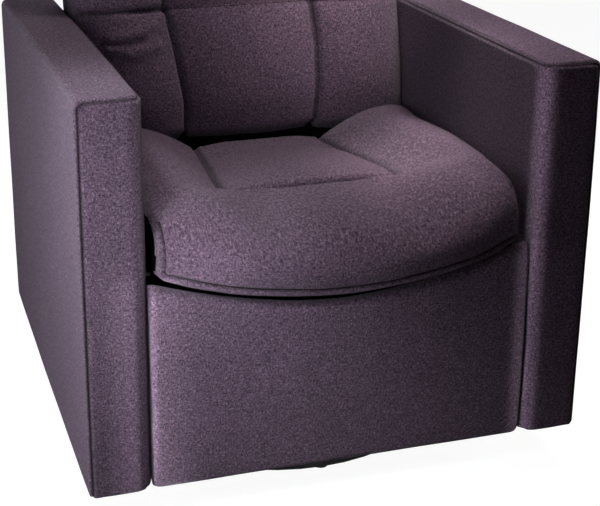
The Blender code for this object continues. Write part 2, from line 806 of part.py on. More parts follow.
def seat_ring(share):
    """One section of the seat cushion, from its rear foot over the top and round the lip."""
    size = abs(share)
    rear = SEAT_RAIL_REAR + SHARP_RADIUS * 3
    foot = SEAT_PLANE + SEAT_PINCH * size ** 9
    high = seat_height(share, rear)
    ring = [(rear - SHARP_RADIUS * 3, foot), (rear, foot + SHARP_RADIUS * 3)]
    ring.append((rear, high - SEAT_REAR_EDGE))
    ring.append((rear - SEAT_REAR_ROLL * 0.3, high - SEAT_REAR_EDGE * 0.3))
    first = rear - SEAT_REAR_ROLL
    for step in range(13):
        depth = mix((first, -SEAT_PANEL_FRONT), step / 12)
        ring.append((depth, seat_height(share, depth)))
    crest = -SEAT_PANEL_FRONT - SEAT_ROLL_REACH - SEAT_ROLL_SETBACK * size ** 3
    for part in (0.5, 1.0):
        depth = mix((-SEAT_PANEL_FRONT, crest), part)
        ring.append((depth, seat_height(share, depth)))
    front = -DEPTH / 2 + LIP_CORNER_SETBACK * size ** 4
    lip = LIP_CENTRE_Z + LIP_RISE * size ** LIP_POWER
    ring += seat_lip(size, front, lip, crest, ring[-1][1])
    return [(seat_across(share, depth), depth, height) for depth, height in ring]


def build_seat_cushion(material):
    stations = [0.0, 0.16, 0.30, 0.40, 0.45, 0.48, 0.51, 0.57, 0.66, 0.76, 0.86, 0.93, 0.97, 1.0]
    mesh = loft("seat_cushion", [seat_ring(share) for share in both_ways(stations)])
    add_piece("seat_cushion", mesh, material, smooth=True)


def arm_top(depth):
    share = (depth - ARM_FRONT) / (ARM_REAR - ARM_FRONT)
    return ARM_FRONT_HEIGHT + (ARM_REAR_HEIGHT - ARM_FRONT_HEIGHT) * share


def arm_plan(inset, radii):
    """Plan of the right arm, its corners named from the inner front one."""
    low = ARM_INNER + inset
    high = WIDTH / 2 - inset
    front = ARM_FRONT + inset
    rear = ARM_REAR - inset
    corners = [(low, front), (high, front), (high, rear), (low, rear)]
    return rounded(corners, [max(radius - inset, SLOT_RADIUS) for radius in radii])


def build_arm_covers(material):
    """A padded cover open underneath: outer skin, top, and the slot for the frame inside."""
    foot = UNDERSIDE
    radii = [ARM_FRONT_RADII[1], ARM_FRONT_RADII[0], ARM_REAR_RADIUS, ARM_REAR_RADIUS]
    rings = [[(x, y, foot) for x, y in arm_plan(0.0, radii)]]
    for step in range(ARC_STEPS + 1):
        angle = math.pi / 2 * step / ARC_STEPS
        inset = ARM_EDGE_RADIUS * (1 - math.cos(angle))
        drop = ARM_EDGE_RADIUS * (1 - math.sin(angle))
        rings.append([(x, y, arm_top(y) - drop) for x, y in arm_plan(inset, radii)])
    slot = arm_plan(ARM_PADDING, [SLOT_RADIUS] * len(radii))
    inner = [[(x, y, foot) for x, y in slot], [(x, y, arm_top(y) - ARM_PADDING) for x, y in slot]]
    order = inner[::-1] + rings
    for name, side in (("left", -1), ("right", 1)):
        piece = add_piece("arm_cover_" + name, loft("arm_cover", order), material)
        mirror(piece, side)


def build_arm_frames(material):
    inset = ARM_PADDING + FIT
    front = ARM_FRONT + inset
    rear = ARM_REAR - inset
    foot = UNDERSIDE + FIT
    corners = [(front, foot), (rear, foot), (rear, arm_top(rear) - inset), (front, arm_top(front) - inset)]
    rail = ARM_FRAME_RAIL
    window = [
        (front + rail, foot + rail), (rear - rail, foot + rail),
        (rear - rail, arm_top(rear) - inset - rail), (front + rail, arm_top(front) - inset - rail),
    ]
    outline = rounded(corners, [SLOT_RADIUS] * len(corners), 1)
    low = ARM_INNER + ARM_PADDING + SLOT_RADIUS
    high = WIDTH / 2 - ARM_PADDING - SLOT_RADIUS
    for name, side in (("left", -1), ("right", 1)):
        mesh = sheet("arm_frame", outline, *on_side(side, low, high), "X", [window])
        add_piece("arm_frame_" + name, mesh, material)


def build_rear_panel(material):
    reach = ARM_INNER - FIT
    low = (-reach, REAR_PANEL_Y, UNDERSIDE)
    high = (reach, REAR_PANEL_Y + REAR_PANEL_THICKNESS, REAR_PANEL_TOP)
    add_piece("rear_panel", box("rear_panel", low, high), material)


def build_links(material, pivots):
    """The four bars of each side; each carries the rivets that the next layer turns on."""
    first = layer(1)
    second = layer(2)
    third = layer(3)
    bars = {
        "drive_link": ("drive", ["drive", "tail"], first, ["drive"], ["tail"], second),
        "rocker_link": ("rocker", ["rocker", "crossing", "knee"], first, ["rocker"], ["crossing", "knee"],
                        second),
        "upper_arm": ("tail", ["tail", "upper"], second, ["tail", "crossing"], ["upper"], third),
        "lower_arm": ("knee", ["knee", "lower"], second, ["knee"], ["lower"], third),
    }
    for label, (origin, chain, depths, holes, pins, beyond) in bars.items():
        outline = bar([pivots[key] for key in chain], LINK_HALF)
        pivot = (0.0, *pivots[origin])
        for name, side in (("left", -1), ("right", 1)):
            bosses = [rivet(pivots[key], side, depths[0], beyond[0]) for key in pins]
            bores = [clear_of_rivet(pivots[key]) for key in holes]
            low, high = on_side(side, *depths)
            mesh = sheet(label, outline, low, high, "X", bores, bosses, side * depths[0])
            add_piece(label + "_" + name, shifted(mesh, pivot), material, pivot)


def build_sync_tube(material, pivots):
    reach = layer(1)[0] - FIT
    profile = [(0.0, -reach), (SYNC_TUBE_RADIUS, -reach), (SYNC_TUBE_RADIUS, reach), (0.0, reach)]
    pivot = (0.0, *pivots["drive"])
    mesh = turned("sync_tube", profile, "X", tuple(pivots["sync"]), 16)
    add_piece("sync_tube", shifted(mesh, pivot), material, pivot)


def pad_top(share):
    """Top of the footrest, dipped in the middle to follow the seat's lip."""
    return PAD_TOP_CENTRE + PAD_RISE * abs(share) ** PAD_POWER


def build_footrest_brackets(material, pivots):
    """A plate that carries both pins, with a flange along the back of the board."""
    pivot = (0.0, *pivots["upper"])
    back = -BOARD_BACK + FIT
    edge = -UPPER_PIN[0] + LINK_HALF
    top = UPPER_PIN[1] + LINK_HALF
    foot = pivots["lower"].y - BRACKET_PITCH
    corners = [
        (back, foot), (edge, foot), (edge + BRACKET_BULGE, pivots["lower"].y),
        (edge + BRACKET_BULGE / 2, top), (back, top),
    ]
    outline = rounded(corners, BRACKET_RADII)
    inner, outer = layer(3)
    depths = (inner, outer)
    holes = [clear_of_rivet(pivots[key]) for key in ("upper", "lower")]
    for name, side in (("left", -1), ("right", 1)):
        mesh = sheet("footrest_bracket", outline, *on_side(side, *depths), "X", holes)
        piece = add_piece("footrest_bracket_" + name, shifted(mesh, pivot), material, pivot)
        low, high = on_side(side, inner - FLANGE_WIDTH, outer - STEEL / 2)
        corner = (low, back - FIT / 2, foot + STEEL)
        opposite = (high, back + FLANGE_THICKNESS, top - LINK_HALF * 3)
        mesh = box("flange", corner, opposite)
        flange = add_piece("flange_" + name, shifted(mesh, pivot), material, pivot)
        helper(flange, piece, "flange", "UNION")


def build_footrest_board(material, pivots):
    pivot = (0.0, *pivots["upper"])
    half = CUSHION_HALF - PAD_EDGE_RADIUS
    foot = UNDERSIDE + PAD_EDGE_RADIUS
    outline = [(-half, foot), (half, foot)]
    for step in range(13):
        share = 1 - step / 6
        outline.append((half * share, pad_top(share) - PAD_EDGE_RADIUS))
    mesh = sheet("footrest_board", outline, -PAD_BACK + FIT, -BOARD_BACK, "Y")
    add_piece("footrest_board", shifted(mesh, pivot), material, pivot)


def pad_ring(share, inset):
    """One section of the footrest pad: flat back, crowned front, rounded edges."""
    top = pad_top(share) - inset
    foot = UNDERSIDE + inset
    face = -FOOTREST_FACE + inset
    back = -PAD_BACK
    edge = PAD_EDGE_RADIUS
    ring = [(back, foot + inset), (back, top - inset)]
    for step in range(4):
        angle = math.pi / 2 * step / 3
        ring.append((face + edge * (1 - math.sin(angle)), top - edge * (1 - math.cos(angle))))
    rows = 5
    for step in range(1, rows):
        height = top - edge + (foot - top + 2 * edge) * step / rows
        ring.append((face - PAD_CROWN * math.sin(math.pi * step / rows), height))
    for step in range(4):
        angle = math.pi / 2 * step / 3
        ring.append((face + edge * (1 - math.cos(angle)), foot + edge * (1 - math.sin(angle))))
    return ring


def build_footrest_pad(material, pivots):
    pivot = (0.0, *pivots["upper"])
    half = ARM_INNER - FOOTREST_GAP
    edge = PAD_EDGE_RADIUS
    stations = [(1 - step / 8) for step in range(9)]
    rows = [(half, 0.55 * edge), (half - 0.3 * edge, 0.15 * edge)]
    rows += [((half - edge) * share, 0.0) for share in stations]
    rows += [(-place, inset) for place, inset in rows[-2::-1]]
    rings = []
    for place, inset in rows:
        rings.append([(place, depth, height) for depth, height in pad_ring(place / half, inset)])
    mesh = loft("footrest_pad", rings)
    add_piece("footrest_pad", shifted(mesh, pivot), material, pivot, smooth=True)


def back_top_at(across):
    """Top of the back at a distance from the middle, rounded at both corners."""
    past = max(0.0, abs(across) - (CUSHION_HALF - BACK_CORNER_RADIUS))
    return BACK_TOP - BACK_CORNER_RADIUS + math.sqrt(max(BACK_CORNER_RADIUS ** 2 - past ** 2, 0.0))


def back_front(share, height):
    """Depth of the back's front face: two side bolsters and three stacked panels between them."""
    size = abs(share)
    swell = smoothstep(BACK_BOTTOM, BACK_BOTTOM + BACK_SWELL, height)
    out = (size - BACK_SEAM_SHARE) / (1 - BACK_SEAM_SHARE)
    if out < 0.0:
        full = BACK_PANEL_CROWN * (1 - (size / BACK_SEAM_SHARE) ** 2)
    else:
        full = BACK_BOLSTER_CROWN * math.sin(math.pi * out)
    depth = BACK_EDGE_DEPTH + BACK_SWELL_DEPTH * swell + full * mix((BACK_FOOT_SHARE, 1.0), swell)
    draw = BACK_SEAM_DEPTHS[0] if out < 0.0 else BACK_SEAM_DEPTHS[1]
    for level in BACK_SEAM_HEIGHTS:
        depth -= draw * math.exp(-(((height - level) / BACK_SEAM_WIDTH) ** 2))
    return depth - BACK_SIDE_ROLL * size ** BACK_SIDE_POWER


def back_levels():
    """Heights of the rings, closer together at the seams across the back."""
    bounds = (BACK_BOTTOM, *BACK_SEAM_HEIGHTS, BACK_TOP - BACK_ROLL)
    levels = []
    for low, high in zip(bounds, bounds[1:]):
        span = high - low
        levels += [low + BACK_SEAM_WIDTH, low + span / 3, high - span / 3, high - BACK_SEAM_WIDTH, high]
    return levels


def back_ring(share):
    """One section of the back cushion, from its rear foot up the front and over the top."""
    across = share * CUSHION_HALF
    top = back_top_at(across)
    foot = BACK_BOTTOM
    high = top - BACK_ROLL
    ring = [(-FIT, foot)]
    ring.append((-BACK_EDGE_DEPTH / 2, foot + SHARP_RADIUS))
    ring.append((-back_front(share, foot) * 0.86, foot + SHARP_RADIUS * 5))
    scale = (high - foot) / (BACK_TOP - BACK_ROLL - foot)
    for level in back_levels():
        ring.append((-back_front(share, level), foot + (level - foot) * scale))
    reach = back_front(share, BACK_TOP - BACK_ROLL)
    for step in range(1, ARC_STEPS + 1):
        angle = math.pi / 2 * step / ARC_STEPS
        depth = -BACK_CREST - (reach - BACK_CREST) * math.cos(angle)
        ring.append((depth, high + BACK_ROLL * math.sin(angle)))
    ring.append((-FIT, top - SHARP_RADIUS * 3))
    return [(across, depth, height) for depth, height in ring]


def back_pivot():
    return (0.0, BACK_PIVOT_Y, BACK_PIVOT_Z)


def build_back_cushion(material):
    stations = [0.0, 0.18, 0.34, 0.42, 0.45, 0.48, 0.56, 0.68, 0.80, 0.88, 0.94, 0.98, 1.0]
    mesh = loft("back_cushion", [back_ring(share) for share in both_ways(stations)])
    add_piece("back_cushion", mesh, material, back_pivot(), -BACK_TILT, True)


def back_outline(inset):
    half = CUSHION_HALF - inset
    low = BACK_BOTTOM - BACK_SKIRT
    high = BACK_TOP - BACK_SHELL_STEP - inset
    corner = max(BACK_CORNER_RADIUS - inset, SHARP_RADIUS)
    corners = [(-half, low), (half, low), (half, high), (-half, high)]
    return rounded(corners, [SHARP_RADIUS, SHARP_RADIUS, corner, corner])


def helper(piece, target, label, operation):
    """Hides a helper solid and joins it to, or cuts it from, another piece."""
    piece.hide_render = True
    piece.display_type = "WIRE"
    step = target.modifiers.new(label, "BOOLEAN")
    step.operation = operation
    step.solver = "EXACT"
    step.object = piece


def build_back_shell(material):
    """A tray open at the front; below its foot only the rear wall goes on, as a skirt."""
    rear = BACK_SHELL_DEPTH
    edge = BACK_SHELL_EDGE
    wall = BACK_SHELL_WALL
    rings = [[(x, FIT, z) for x, z in back_outline(0.0)]]
    for step in range(ARC_STEPS):
        angle = math.pi / 2 * step / (ARC_STEPS - 1)
        depth = rear - edge * (1 - math.sin(angle))
        inset = edge * (1 - math.cos(angle))
        rings.append([(x, depth, z) for x, z in back_outline(inset)])
    shell = add_piece("back_shell", loft("back_shell", rings), material, back_pivot(), -BACK_TILT)
    half = CUSHION_HALF - wall
    high = BACK_TOP - BACK_SHELL_STEP - wall
    corner = BACK_CORNER_RADIUS - wall
    low = BACK_BOTTOM - BACK_SKIRT - edge
    corners = [(-half, low), (half, low), (half, high), (-half, high)]
    outline = rounded(corners, [SHARP_RADIUS, SHARP_RADIUS, corner, corner])
    inner = rear - wall - BACK_LINER
    mesh = sheet("back_hollow", outline, -edge, inner, "Y")
    hollow = add_piece("back_hollow", mesh, material, back_pivot(), -BACK_TILT)
    helper(hollow, shell, "hollow", "DIFFERENCE")
    corner = (-ARM_INNER, -1.5 * edge, low - edge)
    opposite = (ARM_INNER, inner + FIT, BACK_BOTTOM)
    mesh = box("back_notch", corner, opposite)
    notch = add_piece("back_notch", mesh, material, back_pivot(), -BACK_TILT)
    helper(notch, shell, "notch", "DIFFERENCE")


def build_back_frame(material):
    half = layer(1)[0] - FIT
    low = BACK_BOTTOM + BACK_FRAME_RISE
    high = BACK_TOP - BACK_SHELL_STEP - BACK_SHELL_WALL - FIT
    corner = BACK_CORNER_RADIUS - BACK_SHELL_WALL
    corners = [(-half, low), (half, low), (half, high), (-half, high)]
    outline = rounded(corners, [SHARP_RADIUS, SHARP_RADIUS, corner, corner])
    inside = half - BACK_POST
    middle = (low + high) / 2
    spans = ((low + BACK_RAIL, middle - BACK_RAIL / 2), (middle + BACK_RAIL / 2, high - BACK_RAIL))
    windows = []
    for bottom, top in spans:
        windows.append([(-inside, bottom), (inside, bottom), (inside, top), (-inside, top)])
    depth = BACK_SHELL_DEPTH - BACK_SHELL_WALL - BACK_LINER - FIT
    mesh = sheet("back_frame", outline, FIT, depth, "Y", windows)
    add_piece("back_frame", mesh, material, back_pivot(), -BACK_TILT)


def build_back_brackets(material):
    """A plate up each post, with an arm ahead of the pivot for the spring."""
    inner, outer = layer(1)
    tilt = Vector(SPRING_TAIL)
    cosine = math.cos(BACK_TILT)
    sine = math.sin(BACK_TILT)
    tail = Vector((tilt.x * cosine - tilt.y * sine, tilt.x * sine + tilt.y * cosine))
    middle = (BACK_SHELL_DEPTH - BACK_SHELL_WALL - BACK_LINER) / 2
    outline = bar([tail, (0.0, 0.0), (middle, BACK_BOTTOM * 1.2), (middle, BRACKET_REACH)], LINK_HALF)
    for name, side in (("left", -1), ("right", 1)):
        low, high = on_side(side, inner, outer)
        peg = [(RIVET_RADIUS, side * inner), (RIVET_RADIUS, side * layer(3)[0])]
        holes = [clear_of_rivet((0.0, 0.0))]
        mesh = sheet("back_bracket", outline, low, high, "X", holes, [(tuple(tail), peg)], side * inner)
        add_piece("back_bracket_" + name, mesh, material, back_pivot(), -BACK_TILT)


def spring_points(side):
    """A hook round each peg and a coil between them, as points along one wire."""
    depth = side * (layer(2)[0] + layer(2)[1]) / 2
    low = Vector((0.0, *SPRING_ANCHOR))
    high = Vector((0.0, BACK_PIVOT_Y + SPRING_TAIL[0], BACK_PIVOT_Z + SPRING_TAIL[1]))
    along = (high - low).normalized()
    across = Vector((0.0, -along.z, along.y))
    aside = Vector((1.0, 0.0, 0.0))
    base = Vector((depth, 0.0, 0.0))
    hook = RIVET_RADIUS + COIL_WIRE + 2 * FIT
    points = []
    for step in range(HOOK_POINTS):
        angle = math.radians(HOOK_START - HOOK_STEP * step)
        points.append(base + low + hook * (across * math.sin(angle) - along * math.cos(angle)))
    start = low + along * COIL_LEAD
    length = (high - low).length - 2 * COIL_LEAD
    points.append(base + low + along * COIL_NECK)
    count = COIL_TURNS * COIL_STEPS
    for step in range(count + 1):
        angle = 2 * math.pi * step / COIL_STEPS
        ramp = min(1.0, step / ARC_STEPS, (count - step) / ARC_STEPS)
        ray = (across * math.cos(angle) + aside * math.sin(angle)) * COIL_RADIUS * ramp
        points.append(base + start + along * (length * step / count) + ray)
    points.append(base + high - along * COIL_NECK)
    for step in range(HOOK_POINTS):
        angle = math.radians(HOOK_STEP * step - HOOK_START)
        points.append(base + high + hook * (across * math.sin(angle) + along * math.cos(angle)))
    return points


def least_gap(points, radius):
    """Smallest free distance between turns of one wire that aren't neighbours."""
    places = np.array([tuple(point) for point in points])
    apart = np.linalg.norm(places[:, None] - places[None, :], axis=2)
    index = np.arange(len(places))
    far = np.abs(index[:, None] - index[None, :]) >= COIL_STEPS - 2
    return float(apart[far].min() - 2 * radius)


def build_back_springs(material):
    for name, side in (("left", -1), ("right", 1)):
        points = spring_points(side)
        print("back_spring_" + name, "least gap", round(least_gap(points, COIL_WIRE), 5))
        wire("back_spring_" + name, points, COIL_WIRE, material)


def build_chair():
    clear_scene()
    cloth = make_material("plum_weave", (0.135, 0.098, 0.130), 0.92)
    wood = make_material("pale_wood", (0.52, 0.37, 0.22), 0.7)
    steel = make_material("grey_steel", (0.34, 0.35, 0.36), 0.4, 1.0)
    black = make_material("black_steel", (0.02, 0.02, 0.022), 0.45, 0.6)
    rubber = make_material("dark_rubber", (0.03, 0.03, 0.03), 0.85)
    levels = base_levels()
    pivots = linkage_points()
    build_glides(rubber)
    build_ring(black, levels)
    build_cross(black, levels)
    build_swivel(steel, black, levels)
    build_upper_plate(steel, levels)
    build_cross_rails(black)
    build_side_plates(steel, pivots)
    build_fasteners(steel)
    build_arm_frames(wood)
    build_arm_covers(cloth)
    build_rear_panel(cloth)
    build_seat_rails(wood)
    build_seat_springs(steel)
    build_seat_cushion(cloth)
    build_links(black, pivots)
    build_sync_tube(steel, pivots)
    build_footrest_brackets(black, pivots)
    build_footrest_board(wood, pivots)
    build_footrest_pad(cloth, pivots)
    build_back_frame(wood)
    build_back_brackets(black)
    build_back_shell(cloth)
    build_back_cushion(cloth)
    build_back_springs(steel)


build_chair()
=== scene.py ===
"""Dresses the swivel recliner: finishes for its steel and wood, and its cloth, cushions and seams.

Metres, +Z up, the chair's front towards -Y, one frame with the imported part.
"""

import json
import math

import bmesh
import bpy
import numpy as np
from mathutils import Matrix, Vector, kdtree, noise

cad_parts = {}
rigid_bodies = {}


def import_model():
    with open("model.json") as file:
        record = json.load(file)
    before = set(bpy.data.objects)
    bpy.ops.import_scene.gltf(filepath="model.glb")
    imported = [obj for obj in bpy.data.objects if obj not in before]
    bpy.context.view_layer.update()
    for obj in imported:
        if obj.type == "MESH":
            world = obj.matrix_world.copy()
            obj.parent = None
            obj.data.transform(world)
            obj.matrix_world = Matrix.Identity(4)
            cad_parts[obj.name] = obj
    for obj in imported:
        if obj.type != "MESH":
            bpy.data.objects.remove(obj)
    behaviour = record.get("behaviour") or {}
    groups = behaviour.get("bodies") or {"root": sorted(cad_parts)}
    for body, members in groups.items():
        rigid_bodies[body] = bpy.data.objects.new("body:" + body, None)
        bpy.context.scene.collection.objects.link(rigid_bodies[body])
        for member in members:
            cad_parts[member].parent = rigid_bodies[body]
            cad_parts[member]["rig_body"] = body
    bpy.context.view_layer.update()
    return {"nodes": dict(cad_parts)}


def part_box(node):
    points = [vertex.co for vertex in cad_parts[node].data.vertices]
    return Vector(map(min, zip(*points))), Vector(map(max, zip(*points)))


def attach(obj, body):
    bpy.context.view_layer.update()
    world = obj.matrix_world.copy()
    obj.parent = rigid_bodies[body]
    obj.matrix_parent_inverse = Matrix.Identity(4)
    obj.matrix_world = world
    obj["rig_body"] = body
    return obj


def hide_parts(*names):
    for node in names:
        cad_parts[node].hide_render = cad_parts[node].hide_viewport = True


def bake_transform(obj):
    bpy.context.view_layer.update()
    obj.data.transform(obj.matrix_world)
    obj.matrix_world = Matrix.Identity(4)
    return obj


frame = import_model()
nodes = frame["nodes"]
scene = bpy.context.scene
scene.view_settings.view_transform = "Standard"


# Glides: four moulded rubber buttons under the floor ring.
# Dark rubber with a fine moulded grain, pressed into the ring's underside.

def shader(name, roughness=0.5, metallic=0.0, specular=0.5):
    """A new material with its tree and its main shader."""
    material = bpy.data.materials.new(name)
    material.use_nodes = True
    tree = material.node_tree
    main = tree.nodes["Principled BSDF"]
    main.inputs["Roughness"].default_value = roughness
    main.inputs["Metallic"].default_value = metallic
    main.inputs["Specular IOR Level"].default_value = specular
    return material, tree, main


def step(tree, kind, inputs=(), **settings):
    """A node with its settings; an input takes a number, a colour or another node's socket."""
    item = tree.nodes.new(kind)
    for key, value in settings.items():
        setattr(item, key, value)
    for key, value in dict(inputs).items():
        if isinstance(value, bpy.types.NodeSocket):
            tree.links.new(value, item.inputs[key])
        else:
            item.inputs[key].default_value = value
    return item


def ramp(tree, factor, stops):
    """A colour ramp through (position, colour) stops."""
    item = step(tree, "ShaderNodeValToRGB", {"Fac": factor})
    band = item.color_ramp.elements
    while len(band) < len(stops):
        band.new(0.5)
    for element, (position, colour) in zip(band, stops):
        element.position = position
        element.color = (*colour, 1.0)
    return item.outputs["Color"]


def spots(tree, scale, detail=2.0, coords=None, stretch=None):
    """Noise on the piece's own coordinates, drawn out along an axis if asked."""
    if coords is None:
        coords = step(tree, "ShaderNodeTexCoord").outputs["Object"]
    if stretch:
        coords = step(tree, "ShaderNodeMapping", {"Vector": coords, "Scale": stretch}).outputs["Vector"]
    inputs = {"Vector": coords, "Scale": scale, "Detail": detail}
    return step(tree, "ShaderNodeTexNoise", inputs).outputs["Fac"]


def between(tree, factor, low, high):
    """A factor from 0 to 1, spread between two values."""
    inputs = {"Value": factor, "To Min": low, "To Max": high}
    return step(tree, "ShaderNodeMapRange", inputs).outputs["Result"]


def bump(tree, main, height, strength, distance):
    inputs = {"Height": height, "Strength": strength, "Distance": distance}
    tree.links.new(step(tree, "ShaderNodeBump", inputs).outputs["Normal"], main.inputs["Normal"])


FINE_GRAIN = (900.0, 0.2, 0.0003)


def mottled(name, dark, light, scale, rough, metallic=0.0, grain=FINE_GRAIN, specular=0.3):
    """A finish that wanders between two colours; grain is its bump's scale, strength and depth."""
    material, tree, main = shader(name, metallic=metallic, specular=specular)
    cloud = spots(tree, scale, 4.0)
    tree.links.new(ramp(tree, cloud, [(0.35, dark), (0.65, light)]), main.inputs["Base Color"])
    tree.links.new(between(tree, spots(tree, scale * 2.3), *rough), main.inputs["Roughness"])
    bump(tree, main, spots(tree, grain[0]), *grain[1:])
    return material


def dress(names, material):
    """Gives carried-over parts of the frame their finish."""
    for name in names:
        finishes = nodes[name].data.materials
        finishes.clear()
        finishes.append(material)


moulded_rubber = mottled("moulded_rubber", (0.018, 0.018, 0.019), (0.034, 0.034, 0.035), 60.0, (0.75, 0.9))
dress(["glide_" + place for place in ("front", "rear", "left", "right")], moulded_rubber)


# Floor ring, cross plate and hub: the round base that the chair turns on.
# Rolled steel tube and plate, powder coated black with a slight orange peel.

powder_black = mottled(
    "powder_black", (0.004, 0.004, 0.005), (0.009, 0.009, 0.010), 25.0, (0.5, 0.65),
    grain=(700.0, 0.25, 0.0002), specular=0.12,
)
dress(["floor_ring", "base_cross", "swivel_hub"], powder_black)


# Swivel bearing: two zinc plated plates on a ring of balls, with one pin through them.
# The balls are separate polished steel balls in the race between the plates.

zinc_plate = mottled(
    "zinc_plate", (0.40, 0.41, 0.42), (0.52, 0.53, 0.54), 35.0, (0.28, 0.45), 1.0,
    grain=(260.0, 0.08, 0.0002),
)
dress(["bearing_lower_plate", "bearing_upper_plate", "swivel_pin"], zinc_plate)
BALL_COUNT = 34
BALL_FACES = {"Segments": 14, "Rings": 9}


def tree_with(name, sizes):
    """A geometry tree with named inputs: numbers, then a material."""
    tree = bpy.data.node_groups.new(name, "GeometryNodeTree")
    tree.interface.new_socket("Geometry", in_out="INPUT", socket_type="NodeSocketGeometry")
    for label in sizes:
        tree.interface.new_socket(label, in_out="INPUT", socket_type="NodeSocketFloat")
    tree.interface.new_socket("Finish", in_out="INPUT", socket_type="NodeSocketMaterial")
    tree.interface.new_socket("Geometry", in_out="OUTPUT", socket_type="NodeSocketGeometry")
    return tree, tree.nodes.new("NodeGroupInput").outputs


def close_tree(tree, instances, finish):
    """Ends a tree in real faces with their finish."""
    real = step(tree, "GeometryNodeRealizeInstances", {"Geometry": instances})
    painted = step(tree, "GeometryNodeSetMaterial", {"Geometry": real.outputs[0], "Material": finish})
    ending = tree.nodes.new("NodeGroupOutput")
    tree.links.new(painted.outputs[0], ending.inputs["Geometry"])


def new_piece(name, mesh):
    piece = bpy.data.objects.new(name, mesh)
    scene.collection.objects.link(piece)
    return piece


def plain_mesh(piece):
    """Turns a piece's modifiers into plain mesh."""
    bpy.context.view_layer.update()
    made = bpy.data.meshes.new_from_object(piece.evaluated_get(bpy.context.evaluated_depsgraph_get()))
    piece.modifiers.clear()
    piece.data = made
    return piece


def grown(name, mesh, tree, sizes, finish):
    """A piece made by a geometry tree from a carrier mesh."""
    piece = new_piece(name, mesh)
    modifier = piece.modifiers.new(tree.name, "NODES")
    modifier.node_group = tree
    given = {**sizes, "Finish": finish}
    for socket in tree.interface.items_tree:
        if socket.in_out == "INPUT" and socket.name in given:
            modifier[socket.identifier] = given[socket.name]
    return plain_mesh(piece)


ball_tree, ball_input = tree_with("ball_race", ["Ball Radius"])
ball = step(ball_tree, "GeometryNodeMeshUVSphere", {**BALL_FACES, "Radius": ball_input["Ball Radius"]})
race = step(
    ball_tree, "GeometryNodeInstanceOnPoints",
    {"Points": ball_input["Geometry"], "Instance": ball.outputs[0]},
)
smooth_balls = step(ball_tree, "GeometryNodeSetShadeSmooth", {"Geometry": race.outputs[0]})
close_tree(ball_tree, smooth_balls.outputs[0], ball_input["Finish"])

race_low, race_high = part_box("bearing_ball_ring")
ball_radius = (race_high.z - race_low.z) / 2
race_radius = race_high.x - ball_radius
race_level = (race_low.z + race_high.z) / 2
race_angles = [2 * math.pi * k / BALL_COUNT for k in range(BALL_COUNT)]
race_points = bpy.data.meshes.new("race_points")
race_points.from_pydata(
    [(race_radius * math.cos(angle), race_radius * math.sin(angle), race_level) for angle in race_angles],
    [], [],
)
polished_steel = mottled("polished_steel", (0.55, 0.56, 0.57), (0.62, 0.63, 0.64), 80.0, (0.12, 0.2), 1.0)
balls = grown("bearing_balls", race_points, ball_tree, {"Ball Radius": ball_radius}, polished_steel)
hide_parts("bearing_ball_ring")
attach(balls, nodes["bearing_ball_ring"]["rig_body"])


# Cross rails and side plates: the steel that joins the swivel to the arms and the seat.
# Square tube and plate, powder coated and zinc plated, with plated bolts and standoffs.

SIDES = (("left", -1), ("right", 1))
ENDS = ("front", "rear")
dress(["cross_rail_" + end for end in ENDS], powder_black)
dress(["side_plate_" + side for side, _ in SIDES], zinc_plate)
bright_bolt = mottled("bright_bolt", (0.33, 0.33, 0.34), (0.45, 0.45, 0.46), 120.0, (0.25, 0.4), 1.0)
for side, _ in SIDES:
    dress(["seat_bolt_%s_%s" % (end, side) for end in ENDS], bright_bolt)
    dress(["arm_standoff_%s_%s" % (end, side) for end in ENDS], bright_bolt)


# Arm frames: two boards of pale softwood with a window, hidden inside the arm covers.
# Planed pine with long grain and darker latewood lines.

GRAIN_DRAW = 0.06
PINE_STOPS = [(0.3, (0.38, 0.24, 0.12)), (0.5, (0.52, 0.36, 0.20)), (0.7, (0.62, 0.46, 0.28))]


def pine(name, along):
    """Softwood whose grain runs along one axis."""
    material, tree, main = shader(name, 0.6, specular=0.3)
    stretch = tuple(GRAIN_DRAW if axis == along else 1.0 for axis in range(3))
    grain = spots(tree, 60.0, 6.0, stretch=stretch)
    tree.links.new(ramp(tree, grain, PINE_STOPS), main.inputs["Base Color"])
    tree.links.new(between(tree, grain, 0.5, 0.75), main.inputs["Roughness"])
    bump(tree, main, grain, 0.15, 0.0004)
    return material


dress(["arm_frame_left", "arm_frame_right"], pine("pine_lengthwise", 1))


# Arm covers: foam under a heathered plum weave, pulled over the arm frames.
# The top and outer side are one cloth, the front and inner side another, sewn together edge to edge.

THREAD_PITCH = 0.0011
FLECK_FINE = 0.56
FLECK_LONG = 0.24
THREAD_WAVE = 0.314
NAP = 0.55
CLOUD_SCALE = 14.0
CLOUDING = (0.85, 1.15)
SLUB_SCALE = 150.0
SLUBS = (0.45, 1.55)
CLOTH_ROUGHNESS = (0.78, 0.96)
# Painted shade in seams and fold valleys: how dark the cloth goes there, and how wide the dark band is.
PAINTED_SEAM_SHADE_LEVEL = 0.15
PAINTED_SEAM_SHADE_WIDTH = 0.0032
WEAVE_STOPS = [
    (0.34, (0.026, 0.016, 0.030)),
    (0.45, (0.092, 0.058, 0.097)),
    (0.55, (0.148, 0.099, 0.150)),
    (0.69, (0.280, 0.200, 0.268)),
]


def joined(tree, first, second, operation):
    """Two values made one, as their product or the larger of them."""
    return step(tree, "ShaderNodeMath", {0: first, 1: second}, operation=operation).outputs[0]


